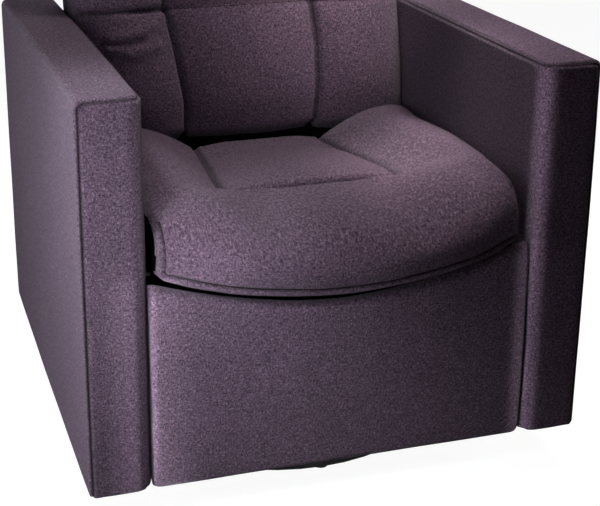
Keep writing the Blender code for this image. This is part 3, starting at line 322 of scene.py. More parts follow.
def heathered_cloth(name, stops, pitch):
    """A plain weave of flecked yarns, laid on the piece's own thread map in metres, with painted shade
    darkening it along seams and folds.
    """
    material, tree, main = shader(name, specular=0.0)
    threads = step(tree, "ShaderNodeUVMap", uv_map="weave").outputs["UV"]
    warp = spots(tree, 1.0, 2.0, threads, (FLECK_FINE / pitch, FLECK_LONG / pitch, 1.0))
    weft = spots(tree, 1.0, 2.0, threads, (FLECK_LONG / pitch, FLECK_FINE / pitch, 1.0))
    over = step(tree, "ShaderNodeTexChecker", {"Vector": threads, "Scale": 1.0 / pitch}).outputs["Fac"]
    fleck = step(tree, "ShaderNodeMix", {"Factor": over, "A": warp, "B": weft}).outputs[0]
    yarn = ramp(tree, fleck, stops)
    cloud = between(tree, spots(tree, CLOUD_SCALE, 3.0), *CLOUDING)
    slub = between(tree, spots(tree, SLUB_SCALE, 2.0), *SLUBS)
    # Painted shade: the seam attribute darkens the base colour in seams and fold valleys.
    painted_seam_shade = step(tree, "ShaderNodeAttribute", attribute_name="painted_seam_shade").outputs["Fac"]
    shade = joined(tree, cloud, slub, "MULTIPLY")
    shade = joined(tree, shade, between(tree, painted_seam_shade, 1.0, PAINTED_SEAM_SHADE_LEVEL), "MULTIPLY")
    tint = step(
        tree, "ShaderNodeMix", {"Factor": 1.0, "A": yarn, "B": shade}, data_type="RGBA", blend_type="MULTIPLY"
    )
    tree.links.new(tint.outputs["Result"], main.inputs["Base Color"])
    waves = {"Vector": threads, "Scale": THREAD_WAVE / pitch}
    rows = [step(tree, "ShaderNodeTexWave", waves, bands_direction=axis).outputs["Fac"] for axis in "XY"]
    height = step(tree, "ShaderNodeMix", {"Factor": over, "A": rows[0], "B": rows[1]}).outputs[0]
    tree.links.new(between(tree, fleck, *CLOTH_ROUGHNESS), main.inputs["Roughness"])
    bump(tree, main, height, 0.5, 0.0006)
    main.inputs["Sheen Weight"].default_value = 0.22
    main.inputs["Sheen Roughness"].default_value = 0.55
    main.inputs["Sheen Tint"].default_value = (0.85, 0.80, 0.90, 1.0)
    return material


plum_weave = heathered_cloth("plum_weave_cloth", WEAVE_STOPS, THREAD_PITCH)
plum_thread = mottled(
    "plum_thread", (0.012, 0.008, 0.012), (0.026, 0.018, 0.026), 400.0, (0.7, 0.85), specular=0.0
)


def vertex_places(mesh, kind="co"):
    values = np.empty(len(mesh.vertices) * 3)
    mesh.vertices.foreach_get(kind, values)
    return values.reshape(-1, 3)


def move_vertices(mesh, places):
    mesh.vertices.foreach_set("co", places.ravel())
    mesh.update()


def push_out(mesh, distance):
    """Moves each vertex out along its normal."""
    move_vertices(mesh, vertex_places(mesh) + vertex_places(mesh, "normal") * distance[:, None])


def lay_threads(mesh):
    """Lays the weave on each face along its two flattest directions; upper faces are brushed to the rear."""
    layer = mesh.uv_layers.new(name="weave")
    count = len(mesh.polygons)
    normals = np.empty(count * 3)
    mesh.polygons.foreach_get("normal", normals)
    totals = np.empty(count, dtype=np.int32)
    mesh.polygons.foreach_get("loop_total", totals)
    corner = np.empty(len(mesh.loops), dtype=np.int32)
    mesh.loops.foreach_get("vertex_index", corner)
    facing = np.repeat(np.abs(normals.reshape(-1, 3)).argmax(axis=1), totals)
    places = vertex_places(mesh)[corner]
    first = np.where(facing == 0, places[:, 1], places[:, 0])
    second = np.where(facing == 2, places[:, 1] * NAP, places[:, 2])
    layer.data.foreach_set("uv", np.column_stack([first, second]).ravel())


def skin(name, rings):
    """A closed skin of four-sided faces through rings of equal count."""
    count = len(rings[0])
    points = [tuple(point) for ring in rings for point in ring]
    last = len(points) - count
    faces = []
    for here in range(0, last, count):
        for k in range(count):
            after = (k + 1) % count
            faces.append((here + k, here + after, here + count + after, here + count + k))
    faces.append(tuple(range(count)))
    faces.append(tuple(range(last, len(points))))
    mesh = bpy.data.meshes.new(name)
    mesh.from_pydata(points, [], faces)
    work = bmesh.new()
    work.from_mesh(mesh)
    bmesh.ops.remove_doubles(work, verts=work.verts, dist=0.0001)
    bmesh.ops.recalc_face_normals(work, faces=work.faces)
    if work.calc_volume(signed=True) < 0:
        bmesh.ops.reverse_faces(work, faces=work.faces)
    work.to_mesh(mesh)
    work.free()
    mesh.shade_smooth()
    return new_piece(name, mesh)


def dense(path, spacing=0.002):
    """Points along a path, close together."""
    points = []
    for start, end in zip(path, path[1:]):
        start = Vector(start)
        end = Vector(end)
        count = max(1, int((end - start).length / spacing))
        points += [start.lerp(end, k / count) for k in range(count)]
    return points + [Vector(path[-1])]


def gaps(places, paths):
    """How far each place lies from the nearest path."""
    lines = [point for path in paths for point in dense(path)]
    tree = kdtree.KDTree(len(lines))
    for number, point in enumerate(lines):
        tree.insert(point, number)
    tree.balance()
    return np.array([tree.find(place)[2] for place in places])


def draw_in(piece, paths, depth, width, lift=0.3):
    """Draws cloth in along paths and marks painted shade there, or raises it, unshaded, where depth is
    negative.
    """
    mesh = piece.data
    apart = gaps(vertex_places(mesh), paths)
    move = -depth * np.exp(-((apart / width) ** 2))
    move += lift * depth * np.exp(-(((apart - 2.4 * width) / width) ** 2))
    push_out(mesh, move)
    if depth > 0:
        # Painted shade: a dark band along each drawn-in line, kept as an attribute that the cloth reads.
        painted_seam_shade = mesh.attributes.get("painted_seam_shade") or mesh.attributes.new("painted_seam_shade", "FLOAT", "POINT")
        shade = np.empty(len(apart))
        painted_seam_shade.data.foreach_get("value", shade)
        painted_seam_shade.data.foreach_set("value", np.maximum(shade, np.exp(-((apart / PAINTED_SEAM_SHADE_WIDTH) ** 2))))


stitch_tree, stitch_input = tree_with("stitch_rows", ["Pitch", "Length", "Thread"])
stitch_curve = step(stitch_tree, "GeometryNodeMeshToCurve", {"Mesh": stitch_input["Geometry"]})
stitch_points = step(
    stitch_tree, "GeometryNodeResampleCurve",
    {"Curve": stitch_curve.outputs[0], "Length": stitch_input["Pitch"]}, mode="LENGTH",
)
stitch_size = step(
    stitch_tree, "ShaderNodeCombineXYZ",
    {"X": stitch_input["Length"], "Y": stitch_input["Thread"], "Z": stitch_input["Thread"]},
)
stitch_shape = step(stitch_tree, "GeometryNodeMeshUVSphere", {"Segments": 6, "Rings": 4, "Radius": 0.5})
stitch_way = step(
    stitch_tree, "FunctionNodeAlignRotationToVector",
    {"Vector": step(stitch_tree, "GeometryNodeInputTangent").outputs[0]}, axis="X",
)
stitch_row = step(
    stitch_tree, "GeometryNodeInstanceOnPoints",
    {
        "Points": stitch_points.outputs[0],
        "Instance": stitch_shape.outputs[0],
        "Rotation": stitch_way.outputs[0],
        "Scale": stitch_size.outputs[0],
    },
)
close_tree(stitch_tree, stitch_row.outputs[0], stitch_input["Finish"])
STITCH = {"Pitch": 0.0036, "Length": 0.0042, "Thread": 0.0009}
STITCH_LIFT = 0.0001
SEWN_SPACING = 0.003


def sew(name, piece, paths, body):
    """A row of stitches along each path, lying on the cloth."""
    points = []
    edges = []
    for path in paths:
        start = len(points)
        for point in dense(path, SEWN_SPACING):
            _, place, normal, _ = piece.closest_point_on_mesh(point)
            points.append(place + normal * STITCH_LIFT)
        edges += [(k, k + 1) for k in range(start, len(points) - 1)]
    carrier = bpy.data.meshes.new(name)
    carrier.from_pydata(points, edges, [])
    row = grown(name, carrier, stitch_tree, STITCH, plum_thread)
    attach(row, body)


def upholster(piece, body, replaced):
    """Finishes a padded piece in the plum weave."""
    lay_threads(piece.data)
    piece.data.materials.clear()
    piece.data.materials.append(plum_weave)
    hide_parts(*replaced)
    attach(piece, body)


arm_low, arm_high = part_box("arm_cover_right")
ARM_FRONT_TOP = 0.655
ARM_REAR_TOP = 0.622
ARM_EDGE = 0.010
ARM_CORNERS = (0.025, 0.010, 0.030, 0.030)
ARM_CORNER_ROWS = 9
ARM_SLOT_CORNERS = (0.003,) * 4
ARM_WALL = 0.012
ARM_HEM = 0.004
ARM_HEM_ROWS = ((ARM_WALL - 0.002, 0.0), (0.003, 0.0), (0.0008, 0.001))
ARM_ROWS = 34
ARM_SPACING = 0.016
ARM_FULLNESS = 0.0022
ARM_WANDER = 0.0006
SHARP = 0.0004
SEAM_INSET = 0.0035
SEAM_FRONT = 0.0008
SEAM_FILLET = 0.012
SEAM_CORNER = 0.0053
ARM_SEAM_DRAW = (0.0022, 0.0028)
ROUND_MIDDLE = 1 - math.sqrt(0.5)


def evenly(start, stop, count):
    """The values from start to stop, in a count of even steps."""
    return [start + (stop - start) * k / count for k in range(count + 1)]


def quarter(count, first=0):
    """The angles of a quarter turn, in a count of even steps."""
    return [math.pi / 2 * k / count for k in range(first, count + 1)]


def arm_top(depth):
    share = (depth - arm_low.y) / (arm_high.y - arm_low.y)
    return ARM_FRONT_TOP + (ARM_REAR_TOP - ARM_FRONT_TOP) * share


def arm_plan(inset, corners=ARM_CORNERS):
    """Plan of the right arm from its inner front corner, as (x, y)."""
    low = Vector((arm_low.x + inset, arm_low.y + inset))
    high = Vector((arm_high.x - inset, arm_high.y - inset))
    turns = [
        (low.x, low.y, 1, 1, 180), (high.x, low.y, -1, 1, 270),
        (high.x, high.y, -1, -1, 0), (low.x, high.y, 1, -1, 90),
    ]
    arcs = []
    for (x, y, in_x, in_y, start), corner in zip(turns, corners):
        radius = max(corner - inset, SHARP)
        x += in_x * radius
        y += in_y * radius
        angles = [math.radians(start + turn) for turn in evenly(0, 90, ARM_CORNER_ROWS)]
        arcs.append([(x + radius * math.cos(angle), y + radius * math.sin(angle)) for angle in angles])
    lengths = [arm_high.x - arm_low.x, arm_high.y - arm_low.y] * 2
    points = []
    for arc, after, length in zip(arcs, arcs[1:] + arcs[:1], lengths):
        begin = Vector(arc[-1])
        stop = Vector(after[0])
        count = max(2, round(length / ARM_SPACING))
        points += arc + [tuple(begin.lerp(stop, part / count)) for part in range(1, count)]
    return points


def arm_rings():
    """Rings of the right arm cover, from the slot's roof down, round the hem and up over the top."""
    foot = arm_low.z
    slot = arm_plan(ARM_WALL, ARM_SLOT_CORNERS)
    rings = [[(x, y, arm_top(y) - ARM_WALL) for x, y in slot], [(x, y, foot + 0.001) for x, y in slot]]
    for inset, rise in ARM_HEM_ROWS:
        rings.append([(x, y, foot + rise) for x, y in arm_plan(inset)])
    side = arm_plan(0.0)
    hem = foot + ARM_HEM
    for share in evenly(0.0, 1.0, ARM_ROWS):
        rings.append([(x, y, hem + (arm_top(y) - ARM_EDGE - hem) * share) for x, y in side])
    for angle in quarter(8, 1):
        drop = ARM_EDGE * (1 - math.sin(angle))
        plan = arm_plan(ARM_EDGE * (1 - math.cos(angle)))
        rings.append([(x, y, arm_top(y) - drop) for x, y in plan])
    middle = (arm_high.x - arm_low.x) / 2 - 0.0002
    for inset in evenly(ARM_EDGE, middle, 7)[1:]:
        rings.append([(x, y, arm_top(y)) for x, y in arm_plan(inset)])
    return rings


def arm_seam():
    """The sewn line: up the outer front edge, across the front, and back along the inner top edge."""
    dip = ARM_EDGE * ROUND_MIDDLE
    outer = arm_high.x - SEAM_INSET
    front = arm_low.y + SEAM_FRONT
    foot = arm_low.z + ARM_HEM
    top = ARM_FRONT_TOP - dip
    line = [(outer, front, foot)]
    for turn, angle in enumerate(quarter(6)):
        line.append((
            outer - SEAM_FILLET * (1 - math.cos(angle)),
            front + (dip - SEAM_FRONT) * turn / 6,
            top - SEAM_FILLET * (1 - math.sin(angle)),
        ))
    line.append((arm_low.x + ARM_CORNERS[0], arm_low.y + dip, top))
    cut = SEAM_CORNER + dip * 0.7
    line.append((arm_low.x + cut, arm_low.y + cut, arm_top(arm_low.y + 0.005) - dip))
    for depth in evenly(arm_low.y + ARM_CORNERS[0], arm_high.y - ARM_CORNERS[3], 11):
        line.append((arm_low.x + dip, depth, arm_top(depth) - dip))
    corner = arm_low.x + ARM_CORNERS[3] * ROUND_MIDDLE
    rear = arm_high.y - ARM_CORNERS[3] * ROUND_MIDDLE
    return line + [(corner, rear, arm_top(rear) - ARM_EDGE), (corner, rear, foot)]


def fill_out(piece, low, high, fullness, wander):
    """Pads flat sides out towards their middles and lets the cloth wander a little."""
    mesh = piece.data
    places = vertex_places(mesh)
    shares = np.clip((places - np.array(low)) / (np.array(high) - np.array(low)), 0, 1)
    crown = np.clip(4 * shares * (1 - shares), 0, 1) ** 0.5
    swell = np.where(np.abs(vertex_places(mesh, "normal")) < 0.6, crown, 1.0).prod(axis=1)
    drift = np.array([noise.noise(Vector(place) * 9.0) for place in places])
    push_out(mesh, fullness * swell + wander * drift * np.clip(swell * 2, 0, 1))


def mirrored(path, side):
    return [(side * point[0], point[1], point[2]) for point in path]


for side_name, side in SIDES:
    rings = [mirrored(ring, side) for ring in arm_rings()]
    cover = skin("cover_arm_" + side_name, rings)
    low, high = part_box("arm_cover_" + side_name)
    fill_out(cover, low, high, ARM_FULLNESS, ARM_WANDER)
    seam = mirrored(arm_seam(), side)
    draw_in(cover, [seam], *ARM_SEAM_DRAW)
    upholster(cover, "chair", ["arm_cover_" + side_name])
    sew("seam_arm_" + side_name, cover, [seam], "chair")


# Rear panel: a board between the arms below the back, wrapped in the same cloth.
# Its edges are rounded by thin wadding, and it is screwed to the arm frames from inside.

BLOCK_SPACING = 0.03
REAR_PANEL_EDGE = 0.005
REAR_PANEL_FULLNESS = 0.002
REAR_PANEL_WANDER = 0.0005


def pad_block(name, low, high, radius):
    """A wrapped board: a block with rounded edges in even faces."""
    size = [high[axis] - low[axis] for axis in range(3)]
    work = bmesh.new()
    bmesh.ops.create_cube(work, size=1.0)
    for vertex in work.verts:
        vertex.co = Vector([low[axis] + (vertex.co[axis] + 0.5) * size[axis] for axis in range(3)])
    for axis in range(3):
        count = max(1, round(size[axis] / BLOCK_SPACING))
        for cut in range(1, count):
            place = Vector((0, 0, 0))
            place[axis] = low[axis] + size[axis] * cut / count
            way = Vector((0, 0, 0))
            way[axis] = 1.0
            whole = work.verts[:] + work.edges[:] + work.faces[:]
            bmesh.ops.bisect_plane(work, geom=whole, plane_co=place, plane_no=way)
    mesh = bpy.data.meshes.new(name)
    work.to_mesh(mesh)
    work.free()
    piece = new_piece(name, mesh)
    edge = piece.modifiers.new("wadding", "BEVEL")
    edge.width = radius
    edge.segments = 3
    edge.limit_method = "ANGLE"
    plain_mesh(piece)
    piece.data.shade_smooth()
    return piece


panel_low, panel_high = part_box("rear_panel")
rear_panel = pad_block("panel_rear_cloth", panel_low, panel_high, REAR_PANEL_EDGE)
fill_out(rear_panel, panel_low, panel_high, REAR_PANEL_FULLNESS, REAR_PANEL_WANDER)
upholster(rear_panel, "chair", ["rear_panel"])


# Seat rails and seat springs: a softwood frame with four sinuous wire springs across it.
# The springs are hardened wire, oiled dark, clipped to the front and rear rails.
# The front and side rails, which show past the cushion, are wrapped in black dust lining.

# The same black material also stands as painted shade on the seat's flanks, the footrest board and under the
# back's foot.
black_lining_and_painted_shade = mottled(
    "black_lining_and_painted_shade", (0.002, 0.002, 0.003), (0.006, 0.006, 0.007), 700.0, (0.85, 0.95), specular=0.0
)
dress(["seat_rail_rear"], pine("pine_across", 0))
dress(["seat_rail_front", "seat_rail_left", "seat_rail_right"], black_lining_and_painted_shade)
oiled_wire = mottled("oiled_wire", (0.10, 0.10, 0.105), (0.17, 0.17, 0.175), 90.0, (0.3, 0.45), 1.0)
dress(["seat_spring_%d" % number for number in range(1, 5)], oiled_wire)


# Seat cushion: one foam bucket with side bolsters and a front roll round a sunk middle panel.
# The panel's seams are sewn down; a boxing band is sewn on under the lip and at the front corners.
# Its flanks, which the arms cover, are painted black as shade, in a band that widens towards the front.

seat_low, seat_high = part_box("seat_cushion")
SEAT_HALF = seat_high.x
SEAT_REAR = seat_high.y
SEAT_LIP = seat_low.y
SEAT_PLANE = 0.3594
SEAT_SEAM = 0.48
SEAT_FLANK = 0.93
SEAT_SWELL = 0.005
PANEL_FRONT = -0.215
PANEL_HALVES = (0.138, 0.110)
PANEL_LEVELS = (0.450, 0.420)
PANEL_DOME = 0.006
SEAM_SINK = 0.004
SEAM_SINK_WIDTH = 0.03
BOLSTER_LEVELS = (0.486, 0.466)
BOLSTER_FRONT = -0.12
BOLSTER_CREST = 0.238
BOLSTER_FALL = 0.030
ROLL_CREST = -0.234
ROLL_SWEEP = 0.036
ROLL_RISE = 0.005
ROLL_SPREAD = 0.55
ROLL_REACH = 0.05
LIP_CENTRE = 0.3485
LIP_RISE = 0.0405
LIP_POWER = 1.6
LIP_SETBACK = 0.045
LIP_BAND = 0.012
NOSE_RISE = 0.036
NOSE_LEAN = 0.006
BAND_LEAN = 0.007
CORNER_SHARE = 0.945
CORNER_TURN = 0.048
CORNER_SEAM = 0.95
SIDE_PINCH = 0.010
FRONT_PINCH = 0.005
FRONT_PINCH_FROM = (0.22, 0.34)
# Painted shade on the flanks: its extra width at the front, the depths over which it widens, and its least
# width.
PAINTED_FLANK_SHADE = 0.005
PAINTED_FLANK_SHADE_FROM = (0.24, 0.34)
PAINTED_FLANK_SHADE_LEAST = 0.0015
UNDER_LIP = -0.309
UNDER_RISE = 0.004
REAR_EDGE = 0.006
REAR_ROUND = 0.014
REAR_RISE = 0.022
TOP_REAR = SEAT_REAR - REAR_ROUND
REAR_ROWS = 7
TOP_ROWS = 52
RISE_ROWS = 8
ROUND_ROWS = 26
FACE_ROWS = 9
CORNER_ROWS = FACE_ROWS + 14
SEAM_HOLD = 0.0022
PANEL_SEAM_DRAW = (0.008, 0.0045, 0.15)
LIP_SEAM_DRAW = (0.0035, 0.0035)
CORNER_SEAM_DRAW = (0.006, 0.0035, 0.1)


def ease(low, high, value):
    share = min(max((value - low) / (high - low), 0.0), 1.0)
    return share * share * (3.0 - 2.0 * share)


def blended(ends, share):
    return ends[0] + (ends[1] - ends[0]) * share


def seat_seam_at(depth):
    return blended(PANEL_HALVES, ease(PANEL_FRONT, SEAT_REAR, depth))


def seat_half_at(depth):
    return SEAT_HALF - FRONT_PINCH * ease(*FRONT_PINCH_FROM, -depth)


def seat_across(share, depth):
    """Distance from the middle; the seams keep one share while the panel narrows to the rear."""
    seam = seat_seam_at(depth)
    size = abs(share)
    across = seam * size / SEAT_SEAM
    if size > SEAT_SEAM:
        across = seam + (seat_half_at(depth) - seam) * (size - SEAT_SEAM) / (1 - SEAT_SEAM)
    return math.copysign(across, share)


def seat_top(share, depth):
    """Height of the seat: bolsters and a front roll round the sunk panel."""
    size = abs(share)
    across = abs(seat_across(share, depth))
    ahead = PANEL_FRONT - depth
    middle = blended(PANEL_LEVELS, ease(PANEL_FRONT, SEAT_REAR, depth))
    middle += ROLL_RISE * ease(0.0, PANEL_FRONT - ROLL_CREST, ahead)
    crest = blended(BOLSTER_LEVELS, ease(BOLSTER_FRONT, SEAT_REAR, depth))
    seam = seat_seam_at(depth) * (1 - ROLL_SPREAD * ease(0.0, ROLL_REACH, ahead))
    flank = min(max((across - seam) / (BOLSTER_CREST - seam), 0.0), 1.0)
    height = middle + (crest - middle) * math.sin(math.pi / 2 * flank)
    if size < SEAT_SEAM:
        height += PANEL_DOME * (1 - (size / SEAT_SEAM) ** 2)
    panel = ease(-0.012, 0.006, -ahead)
    height -= SEAM_SINK * panel * math.exp(-(((size - SEAT_SEAM) / SEAM_SINK_WIDTH) ** 2))
    edge = max(0.0, across - BOLSTER_CREST) / (SEAT_HALF - BOLSTER_CREST)
    return height - BOLSTER_FALL * edge ** 2.6


def seat_section(share):
    """One section of the cushion from its rear foot over the top, round the lip and back underneath."""
    size = abs(share)
    corner = max(0.0, (size - CORNER_SHARE) / (1 - CORNER_SHARE))
    front = SEAT_LIP + LIP_SETBACK * size ** 4 + CORNER_TURN * corner ** 1.4
    lip = LIP_CENTRE + LIP_RISE * size ** LIP_POWER
    pinch = SIDE_PINCH * size ** 9
    foot = SEAT_PLANE + pinch
    high = seat_top(share, SEAT_REAR) - REAR_RISE
    line = [(SEAT_REAR - REAR_EDGE, foot)]
    line += [(SEAT_REAR, height) for height in evenly(foot + REAR_EDGE, high, REAR_ROWS - 1)]
    for angle in quarter(4, 1)[:-1]:
        line.append((SEAT_REAR - REAR_ROUND * (1 - math.cos(angle)), high + REAR_RISE * math.sin(angle)))
    crest = ROLL_CREST - ROLL_SWEEP * size ** 3
    depths = evenly(TOP_REAR, PANEL_FRONT, TOP_ROWS) + evenly(PANEL_FRONT, crest, RISE_ROWS)[1:]
    line += [(depth, seat_top(share, depth)) for depth in depths]
    top = line[-1][1]
    nose = lip + NOSE_RISE
    for angle in quarter(ROUND_ROWS, 1):
        fall = max(0.0, math.cos(angle)) ** 0.92
        line.append((crest + (front - crest) * math.sin(angle), nose + (top - nose) * fall))
    for down in evenly(0.0, 1.0, FACE_ROWS)[1:]:
        line.append((front + NOSE_LEAN * down ** 2, nose + (lip + LIP_BAND - nose) * down))
    for down in evenly(0.0, 1.0, 4)[1:]:
        line.append((front + NOSE_LEAN + BAND_LEAN * down, lip + LIP_BAND * (1 - down)))
    last = line[-1][0]
    for part in evenly(0.0, 1.0, 3)[1:]:
        line.append((last + (UNDER_LIP - last) * part, lip + UNDER_RISE * part))
    step_up = max(SEAT_PLANE, lip) + pinch
    line += [(UNDER_LIP, height) for height in evenly(lip + UNDER_RISE, step_up, 3)[1:]]
    line += [(depth, foot) for depth in evenly(UNDER_LIP + REAR_EDGE, SEAT_REAR - REAR_EDGE, 13)[1:-1]]
    return [(seat_across(share, depth), depth, height) for depth, height in line]


LIP_SEAM_ROW = 1 + REAR_ROWS + 3 + TOP_ROWS + RISE_ROWS + ROUND_ROWS + FACE_ROWS
SEAT_SHARES = evenly(0.0, SEAT_SEAM, 22)[:-1]
SEAT_SHARES += evenly(SEAT_SEAM, SEAT_FLANK, 20)[:-1]
SEAT_SHARES += evenly(SEAT_FLANK, 1.0, 8)


def end_rings(ring, count=4):
    """Smaller and smaller copies of an end section, which close a cushion's side."""
    middle = Vector(np.mean(np.array(ring), axis=0))
    return [[Vector(point).lerp(middle, k / (count + 1)) for point in ring] for k in range(1, count + 1)]


def cushion_rings(section, shares):
    """Sections of a cushion from side to side, closed at both ends."""
    rings = [section(share) for share in [-share for share in shares[:0:-1]] + shares]
    return end_rings(rings[0])[::-1] + rings + end_rings(rings[-1])


CLOTH = {
    "quality": 6, "mass": 0.25, "air_damping": 4.0, "use_pressure": True, "uniform_pressure_force": 1.2,
    "shrink_min": -0.02, "tension_stiffness": 18.0, "compression_stiffness": 18.0,
    "shear_stiffness": 8.0, "bending_stiffness": 0.35,
}
SWELL_FRAMES = 20
EASE_ROUNDS = 14


def swollen(piece, held, cap):
    """Inflates a cushion as cloth held along its seams, evens the swell out and keeps it within a cap."""
    mesh = piece.data
    start = vertex_places(mesh)
    group = piece.vertex_groups.new(name="held")
    group.add(np.nonzero(held)[0].tolist(), 1.0, "REPLACE")
    modifier = piece.modifiers.new("swell", "CLOTH")
    cloth = modifier.settings
    for label, value in CLOTH.items():
        setattr(cloth, label, value)
    cloth.vertex_group_mass = group.name
    cloth.effector_weights.gravity = 0.0
    modifier.collision_settings.use_collision = False
    modifier.point_cache.frame_start = 1
    modifier.point_cache.frame_end = SWELL_FRAMES
    for number in range(1, SWELL_FRAMES + 1):
        scene.frame_set(number)
    shown = piece.evaluated_get(bpy.context.evaluated_depsgraph_get())
    moved = vertex_places(shown.data) - start
    piece.modifiers.clear()
    scene.frame_set(1)
    pairs = np.empty(len(mesh.edges) * 2, dtype=np.int32)
    mesh.edges.foreach_get("vertices", pairs)
    pairs = pairs.reshape(-1, 2)
    pairs = np.concatenate([pairs, pairs[:, ::-1]])
    count = np.bincount(pairs[:, 0], minlength=len(moved))[:, None]
    for _ in range(EASE_ROUNDS):
        total = np.zeros_like(moved)
        np.add.at(total, pairs[:, 0], moved[pairs[:, 1]])
        moved = (0.5 * moved + 0.5 * total / count) * ~held[:, None]
    far = np.linalg.norm(moved, axis=1)
    scale = np.where(far > 0, cap * np.tanh(far / cap) / np.maximum(far, 1e-9), 0.0)
    move_vertices(mesh, start + moved * scale[:, None])
    piece.vertex_groups.clear()


def subdivided(piece):
    finer = piece.modifiers.new("finer", "SUBSURF")
    finer.levels = 1
    finer.render_levels = 1
    plain_mesh(piece)
    piece.data.shade_smooth()


def seat_point(share, depth):
    return Vector((seat_across(share, depth), depth, seat_top(share, depth)))


seat_cushion = skin("cushion_seat", cushion_rings(seat_section, SEAT_SHARES))
seat_panel_seams = [
    [seat_point(side * SEAT_SEAM, depth) for depth in evenly(TOP_REAR, PANEL_FRONT, 20)] for _, side in SIDES
]
seat_panel_seams.append([seat_point(share, PANEL_FRONT) for share in evenly(-SEAT_SEAM, SEAT_SEAM, 24)])
seat_lip_seam = [
    Vector(seat_section(share)[LIP_SEAM_ROW]) for share in evenly(-CORNER_SEAM, CORNER_SEAM, 40)
]
seat_corner_seams = [
    [Vector(point) for point in seat_section(side * CORNER_SEAM)[LIP_SEAM_ROW - CORNER_ROWS:LIP_SEAM_ROW + 1]]
    for _, side in SIDES
]
places = vertex_places(seat_cushion.data)
held = gaps(places, seat_panel_seams + [seat_lip_seam] + seat_corner_seams) < SEAM_HOLD
held |= places[:, 2] < SEAT_PLANE + 0.004
held |= np.abs(places[:, 0]) > SEAT_HALF - 0.001
held |= places[:, 1] > SEAT_REAR - 0.002
swollen(seat_cushion, held, SEAT_SWELL)
subdivided(seat_cushion)
draw_in(seat_cushion, seat_panel_seams, *PANEL_SEAM_DRAW)
draw_in(seat_cushion, [seat_lip_seam], *LIP_SEAM_DRAW)
draw_in(seat_cushion, seat_corner_seams, *CORNER_SEAM_DRAW)
upholster(seat_cushion, "chair", ["seat_cushion"])
# Painted shade: flank faces near the arms take the black material, so the gap beside the seat reads dark.
seat_cushion.data.materials.append(black_lining_and_painted_shade)
for face in seat_cushion.data.polygons:
    across, depth, _ = face.center
    painted_shade_band = PAINTED_FLANK_SHADE_LEAST + PAINTED_FLANK_SHADE * ease(*PAINTED_FLANK_SHADE_FROM, -depth)
    if abs(across) > seat_half_at(depth) - painted_shade_band:
        face.material_index = 1
sew("seam_seat", seat_cushion, [seat_lip_seam] + seat_corner_seams, "chair")


# Footrest linkage: flat steel bars on rivets, with a tube that keeps both sides in step.
# Stamped bars, powder coated black; the tube and its ends are zinc plated.

LINK_BARS = ("drive_link_", "rocker_link_", "upper_arm_", "lower_arm_", "footrest_bracket_")
for side, _ in SIDES:
    dress([label + side for label in LINK_BARS], powder_black)
dress(["sync_tube"], zinc_plate)


# Footrest: a softwood board dressed black as painted shade for the gap under the seat's lip, with a padded
# front panel that hangs between the arms.
# The panel's cloth wraps its edges, and its top follows the curve of the seat's lip.

# Painted shade: the board is dressed black so its edge reads as the dark gap under the seat's lip.
dress(["footrest_board"], black_lining_and_painted_shade)
pad_low, pad_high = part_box("footrest_pad")
PAD_EDGE = 0.013
PAD_TUCK = PAD_EDGE * 0.62
PAD_TOP = 0.324
PAD_RISE = 0.058
PAD_POWER = 1.75
PAD_CROWN = 0.0035
PAD_HEM = 0.006
PAD_HALF = pad_high.x + 0.003
PAD_ROWS = 32
PAD_WANDER = 0.0008


def pad_section(across, inset):
    """One section of the pad, from the foot of its back up, over and down its front."""
    top = PAD_TOP + PAD_RISE * (abs(across) / PAD_HALF) ** PAD_POWER - 0.3 * inset
    foot = pad_low.z - PAD_HEM + 0.3 * inset
    face = pad_low.y + PAD_CROWN + inset
    line = [(pad_high.y, height) for height in evenly(foot + inset + 0.002, top - inset - 0.002, 12)]
    for angle in quarter(6):
        line.append((face + PAD_EDGE * (1 - math.sin(angle)), top - PAD_EDGE * (1 - math.cos(angle))))
    for share in evenly(0.0, 1.0, PAD_ROWS)[1:-1]:
        crown = PAD_CROWN * math.sin(math.pi * share) ** 0.7
        line.append((face - crown, top - PAD_EDGE + (foot - top + 2 * PAD_EDGE) * share))
    for angle in quarter(6):
        line.append((face + PAD_EDGE * (1 - math.cos(angle)), foot + PAD_EDGE * (1 - math.sin(angle))))
    return [(across, depth, height) for depth, height in line]


pad_stations = [
    (PAD_HALF - PAD_EDGE * (1 - math.cos(angle)), PAD_TUCK * (1 - math.sin(angle))) for angle in quarter(6)
]
pad_stations += [(place, 0.0) for place in evenly(PAD_HALF - PAD_EDGE, 0.0, 24)[1:]]
pad_stations += [(-place, inset) for place, inset in pad_stations[-2::-1]]
footrest_pad = skin("pad_footrest", [pad_section(place, inset) for place, inset in pad_stations])
fill_out(footrest_pad, pad_low, pad_high, 0.0, PAD_WANDER)
subdivided(footrest_pad)
upholster(footrest_pad, "footrest", ["footrest_pad"])


# Back frame, brackets and shell: a softwood ladder in a cloth covered tray.
# The outside back is one panel, closed along its sides, and turns with the back on two bolts.

dress(["back_frame"], pine("pine_upright", 2))
for side, _ in SIDES:
    dress(["back_bracket_" + side], powder_black)
    dress(["back_pivot_bolt_" + side], bright_bolt)
BACK_TILT = math.radians(13.0)
BACK_PIVOT = Vector((0.0, 0.192, 0.345))
lean = Matrix.Translation(BACK_PIVOT) @ Matrix.Rotation(-BACK_TILT, 4, "X")
unlean = lean.inverted()
pad_points = [unlean @ vertex.co for vertex in nodes["back_cushion"].data.vertices]
shell_points = [unlean @ vertex.co for vertex in nodes["back_shell"].data.vertices]
BACK_TOP = max(point.z for point in pad_points)
BACK_FOOT = min(point.z for point in pad_points)
BACK_HALF = max(point.x for point in pad_points)
SHELL_REAR = max(point.y for point in shell_points)
SHELL_FOOT = min(point.z for point in shell_points)
SHELL_TOP = max(point.z for point in shell_points)
BACK_CORNER = 0.060
SHELL_WALL = 0.0125
SHELL_RIM = SHELL_WALL * 0.76
